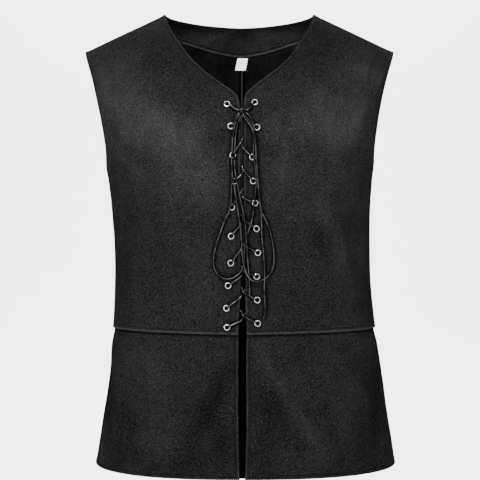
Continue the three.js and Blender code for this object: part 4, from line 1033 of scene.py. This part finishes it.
# The panels. flat is the width and length of the cut, and edges says how each border is
# finished, from one rise to another where it isn't all of it.
cuts = {
    "front": {
        "solid": "front_", "face": -1, "row": bodiceRow, "top": 2, "middle": 104,
        "creases": bodiceFrontCreases,
        "napAndShading": frontNapAndShading, "rises": bodiceRows((1.0, 104), (1.5, 44), (shoulderStop, 56)),
        "flat": (0.262, 0.520), "area": 0.112, "seed": 3,
        "edges": [("inner", "turned", None, None), ("outer", "turned", 1, 2), ("low", "turned", None, None),
                  ("outer", "seam", 0, 1), ("top", "seam", None, None)]},
    "back": {
        "solid": "back_", "face": 1, "row": bodiceRow, "top": 2, "middle": 66,
        "creases": bodiceBackCreases,
        "napAndShading": backNapAndShading, "rises": bodiceRows((1.0, 66), (1.5, 36), (neckStart, 40), (shoulderStop, 36)),
        "flat": (0.258, 0.515), "area": 0.121, "seed": 5,
        "edges": [("inner", "turned", neckStart, 2), ("outer", "turned", 1, 2),
                  ("low", "turned", None, None), ("inner", "seam", 0, neckStart), ("outer", "seam", 0, 1),
                  ("top", "seam", None, None)]},
    "peplumFront": {
        "solid": "peplum_front_", "face": -1, "row": peplumRow, "top": 1, "middle": 72,
        "creases": peplumFrontCreases,
        "napAndShading": frontNapAndShading, "rises": peplumRises, "flat": (0.330, 0.225), "area": 0.060, "seed": 11,
        "edges": [("inner", "turned", None, None), ("low", "turned", None, None),
                  ("outer", "seam", None, None)]},
    "peplumBack": {
        "solid": "peplum_back_", "face": 1, "row": peplumRow, "top": 1, "middle": 72,
        "creases": peplumBackCreases,
        "napAndShading": backNapAndShading, "rises": peplumRises, "flat": (0.315, 0.270), "area": 0.067, "seed": 13,
        "edges": [("low", "turned", None, None), ("inner", "seam", None, None),
                  ("outer", "seam", None, None)]},
}
for word, side in (("Left", -1), ("Right", 1)):
    for kind, cut in cuts.items():
        panel = addPanel(kind + word, {**cut, "side": side})
        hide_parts(cut["solid"] + word.lower())
print("panels built")

# Metal eyelets: a rolled rim over the cloth, a barrel through it and a rim behind. The
# profile gives radius and height, and the hole its sides, radius and depth.
eyelet = {"hole": (24, 0.0033, 0.012), "around": 36, "boreTo": 0.00352, "spin": 0.7,
          "profile": [(0.00275, -0.0012), (0.00275, 0.0006), (0.00290, 0.0012), (0.00320, 0.0018),
                      (0.00350, 0.0021), (0.00385, 0.0022), (0.00415, 0.0020), (0.00440, 0.0016),
                      (0.00455, 0.0011), (0.00440, 0.0009), (0.00380, 0.0010), (0.00290, 0.0010),
                      (0.00280, -0.0009), (0.00360, -0.0009), (0.00400, -0.0011), (0.00380, -0.0015),
                      (0.00310, -0.00165), (0.00262, -0.0015)]}


def modelEyelet():
    first = eyelet["profile"][0]
    bpy.ops.mesh.primitive_circle_add(vertices=eyelet["around"], radius=first[0], location=(0, 0, first[1]))
    bpy.ops.object.transform_apply(location=True)
    bpy.ops.object.mode_set(mode="EDIT")
    bpy.ops.mesh.select_all(action="SELECT")
    before = first
    for radius, height in eyelet["profile"][1:] + [first]:
        bpy.ops.mesh.extrude_edges_move(TRANSFORM_OT_translate={"value": (0, 0, height - before[1])})
        bpy.ops.transform.resize(value=(radius / before[0], radius / before[0], 1),
                                 center_override=(0, 0, height))
        before = (radius, height)
    bpy.ops.mesh.select_all(action="SELECT")
    bpy.ops.mesh.remove_doubles(threshold=0.00001)
    bpy.ops.mesh.normals_make_consistent(inside=False)
    bpy.ops.object.mode_set(mode="OBJECT")
    master = bpy.context.object
    # The bore's inner slope is marked for painted shade
    pointValues(master.data, "bore", [v.co.xy.length < eyelet["boreTo"] for v in master.data.vertices])
    bpy.ops.object.shade_smooth_by_angle(angle=math.radians(50))
    return master


bpy.ops.object.select_all(action="DESELECT")
masterEyelet = modelEyelet()
eyelets = []
holes = {"left": [], "right": []}
for row, spots in enumerate(eyeletRows):
    for end, (x, z) in zip(holes, spots.reshape(2, 2)):
        place, out = frontSpot(x, z)
        turn = Vector((0, 0, 1)).rotation_difference(Vector(out)).to_matrix().to_4x4()
        seat = Matrix.Translation(Vector(place)) @ turn
        mesh = masterEyelet.data.copy()
        mesh.transform(seat @ Matrix.Rotation(eyelet["spin"] * row, 4, "Z"))
        ring = bpy.data.objects.new(f"eyelet{end.capitalize()}{row + 1:02d}", mesh)
        bpy.context.scene.collection.objects.link(ring)
        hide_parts(f"eyelet_{end}_{row + 1:02d}")
        eyelets.append(ring)
        holes[end].append(seat)
bpy.data.objects.remove(masterEyelet)
print("eyelets set")


# The holes under the eyelets are cut through the cloth.
def punchHoles(panel, places):
    bpy.ops.object.select_all(action="DESELECT")
    sides, radius, depth = eyelet["hole"]
    bpy.ops.mesh.primitive_cylinder_add(vertices=sides, radius=radius, depth=depth)
    punch = bpy.context.object
    bare = punch.data.copy()
    built = bmesh.new()
    for place in places:
        first = len(built.verts)
        built.from_mesh(bare)
        built.verts.ensure_lookup_table()
        bmesh.ops.transform(built, matrix=place, verts=built.verts[first:])
    built.to_mesh(punch.data)
    built.free()
    cut = panel.modifiers.new("holes", "BOOLEAN")
    cut.operation = "DIFFERENCE"
    cut.solver = "EXACT"
    cut.object = punch
    bpy.context.view_layer.objects.active = panel
    bpy.ops.object.modifier_apply(modifier="holes")
    bpy.data.objects.remove(punch)


for word in ("Left", "Right"):
    punchHoles(panels["front" + word]["object"], holes[word.lower()])
print("holes punched")

# Stitches: one is modelled and copied along the sewn lines.
stitch = {"pitch": 0.0034, "long": 0.0024, "radius": 0.00032, "sunk": 0.00006, "aim": 0.001,
          "reach": 0.02, "clear": 0.0004}


def modelStitch():
    bpy.ops.mesh.primitive_uv_sphere_add(segments=6, ring_count=5, radius=1)
    bpy.ops.object.mode_set(mode="EDIT")
    bpy.ops.mesh.select_all(action="SELECT")
    bpy.ops.transform.resize(value=(stitch["radius"], stitch["radius"], stitch["long"] / 2))
    bpy.ops.object.mode_set(mode="OBJECT")
    one = bpy.context.object
    points = np.array([v.co for v in one.data.vertices])
    faces = [list(p.vertices) for p in one.data.polygons]
    bpy.data.objects.remove(one)
    return points, faces


# The line on the cloth at one distance from an edge, with the way out from the cloth. It
# stops where another edge is nearer.
def sewnLine(outer, normal, rises, border, first, last, gap, others=()):
    grids = [outer, normal, gap, *others]
    if border in ("low", "top"):
        grids = [np.swapaxes(grid, 0, 1) for grid in grids]
    if border in ("outer", "top"):
        grids = [grid[:, ::-1] for grid in grids]
    line = []
    for i, (points, outs, here, *away) in enumerate(zip(*grids)):
        over = np.argmax(here >= edging["stitch"])
        inside = first is None or first <= rises[i] <= last
        if not inside or over == 0 or here[over] > stitch["reach"]:
            continue
        t = (edging["stitch"] - here[over - 1]) / (here[over] - here[over - 1])
        if any(mix(o[over - 1], o[over], t) < edging["stitch"] - stitch["clear"] for o in away):
            continue
        line.append(np.concatenate([mix(points[over - 1], points[over], t),
                                    unit(mix(outs[over - 1], outs[over], t))]))
    return np.array(line)


bpy.ops.object.select_all(action="DESELECT")
stitchPoints, stitchFaces = modelStitch()
seams = []


def addStitches(name, lines):
    vertices, faces = [], []
    for line in lines:
        if len(line) < 4:
            continue
        run = lengthAlong(line[:, :3])
        for at in np.arange(stitch["pitch"] / 2, run[-1], stitch["pitch"]):
            spots = [at, min(at + stitch["aim"], run[-1]), max(at - stitch["aim"], 0)]
            here, ahead, back = np.stack([np.interp(spots, run, line[:, k]) for k in range(6)], axis=-1)
            along = unit(ahead[:3] - back[:3])
            side = unit(np.cross(unit(here[3:]), along))
            out = np.cross(along, side)
            turned = stitchPoints[:, :1] * side + stitchPoints[:, 1:2] * out + stitchPoints[:, 2:] * along
            first = len(vertices)
            vertices.extend(turned + here[:3] - out * stitch["sunk"])
            faces.extend([[first + v for v in face] for face in stitchFaces])
    piece = addMesh(name, vertices, faces)
    seams.append(piece)
    return piece


for name, made in panels.items():
    lines = []
    for k, edge in enumerate(made["lines"]):
        others = [other[3] for j, other in enumerate(made["lines"]) if j != k]
        lines.append(sewnLine(made["outer"], made["normal"], made["rises"], *edge, others))
    addStitches("stitches" + name[0].upper() + name[1:], lines)
print("stitches sewn")

# The facing inside the back neck, and the bare label under it
facing = {"thick": 0.0012, "off": 0.0008, "middleDrop": 0.0447, "seamWidth": 0.036, "arch": 0.45,
          "cols": 150, "rows": ((0.03, 0.72, 24), (0.75, 1, 22)),  # from, to, count
          "wave": 0.0008, "edge": 0.001, "fold": 1, "flat": (0.335, 0.060), "area": 0.0148,
          "topShade": -0.7, "topDown": 0.30, "endShade": -0.6, "endFrom": 0.80}
label = {"width": 0.0175, "height": 0.019, "thick": 0.0005, "topX": 0.0015, "skew": -0.004,
         "cols": 14, "rows": 15, "below": 0.001, "off": 0.0018, "wave": 0.0003, "edge": 0.0004, "fold": 0}
laidWave = {"size": 0.03, "seed": 21}
turnUp = {"to": (0.0085, 0.0095), "high": 0.0004, "groove": 0.0005, "grooveWide": 0.0008, "rim": 0.0018}


# A thin sheet lying inside the back, at the places seen at x and z
def layOnBack(name, x, z, sort, napAndShading):
    point, normal = bodiceSpot(1, x, z)
    border = np.vstack([point[0], point[1:, -1], point[-1, -2::-1], point[-2::-1, 0]])
    rounding = roundedEdge(distanceTo(point, border), sort["edge"], 0.03)
    lower = distanceTo(point, point[-1])
    fold = sort["fold"] * (turnUp["high"] * (1 - smooth(lower, *turnUp["to"]))
                           - turnUp["groove"] * bump(lower, edging["stitch"], turnUp["grooveWide"]))
    wave = np.maximum(sort["wave"] * softNoise(point, laidWave["size"], laidWave["seed"]), 0)
    near = point - normal * sort["off"]
    out = point - normal * (sort["off"] + sort["thick"] + (fold + wave) * rounding)[..., None]
    uv = np.stack([x - x.min(), z - z.min()], -1).reshape(-1, 2)
    # A painted highlight along the turned-up lower edge, and a dark stitch line with painted shade in its
    # groove
    layers = {"napAndShading": napAndShading, "rim": bump(lower, turnUp["rim"], turnUp["rim"]),
              "sunk": bump(lower, edging["stitch"], edgeTone["lineWide"])}
    piece = addSheet(name, out, near, uv, {key: (value, value) for key, value in layers.items()})
    return piece, out, normal, lower


def addFacing():
    share = np.linspace(-1, 1, facing["cols"])[None, :]
    down = np.concatenate([np.linspace(*part) for part in facing["rows"]])[:, None]
    side = np.where(share < 0, -1.0, 1.0)
    turn = np.abs(share) * quarter
    neckX = edgeX(frontNeckEdges, cloth["neckZ"], side)
    tipX = edgeX(armholeEdges, cloth["shoulderTipZ"], side)
    slope = (cloth["neckZ"] - cloth["shoulderTipZ"]) / (tipX - neckX)
    rise = np.sin(turn) ** 2 * (1 + facing["arch"] * np.cos(turn) ** 2)
    drop = mix(facing["middleDrop"], facing["seamWidth"] * slope, rise)
    x = side * (neckX * np.sin(turn) + down * facing["seamWidth"] * np.sin(turn) ** 2)
    z = mix(cloth["backNeckZ"], cloth["neckZ"], np.sin(turn)) - down * drop
    # Painted shade: darker at the top in the middle, and towards both ends by the neck points
    shade = (facing["topShade"] * bump(down, 0, facing["topDown"]) * np.cos(turn)
             + facing["endShade"] * smooth(np.abs(share), facing["endFrom"], 1.0))
    piece, out, normal, lower = layOnBack("neckFacing", x, z, facing, shade)
    stitches = addStitches("stitchesNeckFacing", [sewnLine(out, -normal, None, "top", None, None, lower)])
    return piece, stitches


def addLabel():
    across = np.linspace(-0.5, 0.5, label["cols"])[None, :]
    fall = np.linspace(0, 1, label["rows"])[:, None]
    x = label["topX"] + label["skew"] * fall + label["width"] * across
    z = cloth["backNeckZ"] - facing["middleDrop"] - label["below"] - label["height"] * fall + 0 * across
    return layOnBack("bareLabel", x, z, label, 0 * z)[0]


neckFacing, facingStitches = addFacing()
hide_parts("back_neck_facing")
bareLabel = addLabel()
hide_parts("label")
print("facing and label laid in")


def finishPiece(piece, made=None):
    if made:
        piece.data.materials.append(made)
    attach(piece, "root")


for made in panels.values():
    finishPiece(made["object"])
finishPiece(neckFacing, facingSuede)
finishPiece(bareLabel, labelTape)
for piece in seams:
    finishPiece(piece, thread)
for piece in cords.values():
    finishPiece(piece, waxedLace)
for piece in eyelets:
    finishPiece(piece, nickel)
print("materials given")

# A pale floor that sweeps up behind, and soft studio light
floor = {"z": -0.90, "front": -4.5, "bend": 2.6, "steps": 12, "back": 4.0, "half": 6.0, "top": 5.0,
         "paper": grey(0.92), "rough": 0.9}
lights = {
    "keyLight": {"place": (-0.45, -1.3, 0.75), "target": (0, 0, -0.12), "size": (0.8, 0.7), "power": 85},
    "fillLight": {"place": (1.5, -1.6, 0.3), "target": (0, 0, -0.20), "size": (1.2, 1.4), "power": 24},
    "stripLight": {"place": (-0.60, -1.6, -0.20), "target": (0, 0, -0.28), "size": (0.32, 1.3), "power": 26},
    "backLight": {"place": (0.6, 2.0, 1.2), "target": (0, 0, -0.30), "size": (1.4, 1.4), "power": 60},
    "paperLight": {"place": (0, 1.2, 3.6), "target": (0, 3.6, 0.0), "size": (4.0, 1.6), "power": 900},
}
studio = {"light": 0.30, "seen": 2.2, "inGloss": -0.25}  # pale to look at, dimmer as a light


def addFloor():
    profile = [(floor["front"], floor["z"])]
    reach = floor["back"] - floor["bend"]
    for i in range(floor["steps"] + 1):
        a = quarter * i / floor["steps"]
        profile.append((floor["bend"] + reach * math.sin(a), floor["z"] + reach * (1 - math.cos(a))))
    profile.append((floor["back"], floor["top"]))
    vertices = [(x, y, z) for y, z in profile for x in (-floor["half"], floor["half"])]
    faces = [(2 * i, 2 * i + 1, 2 * i + 3, 2 * i + 2) for i in range(len(profile) - 1)]
    mesh = bpy.data.meshes.new("floor")
    mesh.from_pydata(vertices, [], faces)
    mesh.shade_smooth()
    sweep = bpy.data.objects.new("floor", mesh)
    bpy.context.scene.collection.objects.link(sweep)
    made, *_ = material("paper", **{"Base Color": floor["paper"], "Roughness": floor["rough"]})
    mesh.materials.append(made)


def addLight(name, place, target, size, power):
    lamp = bpy.data.lights.new(name, "AREA")
    lamp.shape = "RECTANGLE"
    lamp.size, lamp.size_y = size
    lamp.energy = power
    made = bpy.data.objects.new(name, lamp)
    bpy.context.scene.collection.objects.link(made)
    made.location = place
    made.rotation_euler = (Vector(target) - Vector(place)).to_track_quat("-Z", "Y").to_euler()


def addWorld():
    world = bpy.data.worlds.new("studio")
    world.use_nodes = True
    tree = world.node_tree
    paths = node(tree, "LightPath").outputs
    sky = maths(tree, "MULTIPLY_ADD", paths["Is Camera Ray"], studio["seen"], studio["light"])
    sky = maths(tree, "MULTIPLY_ADD", paths["Is Glossy Ray"], studio["inGloss"], sky)
    tree.nodes["Background"].inputs[0].default_value = grey(1)
    tree.links.new(sky, tree.nodes["Background"].inputs[1])
    bpy.context.scene.world = world


addFloor()
for name, lamp in lights.items():
    addLight(name, **lamp)
addWorld()
print("stage lit")
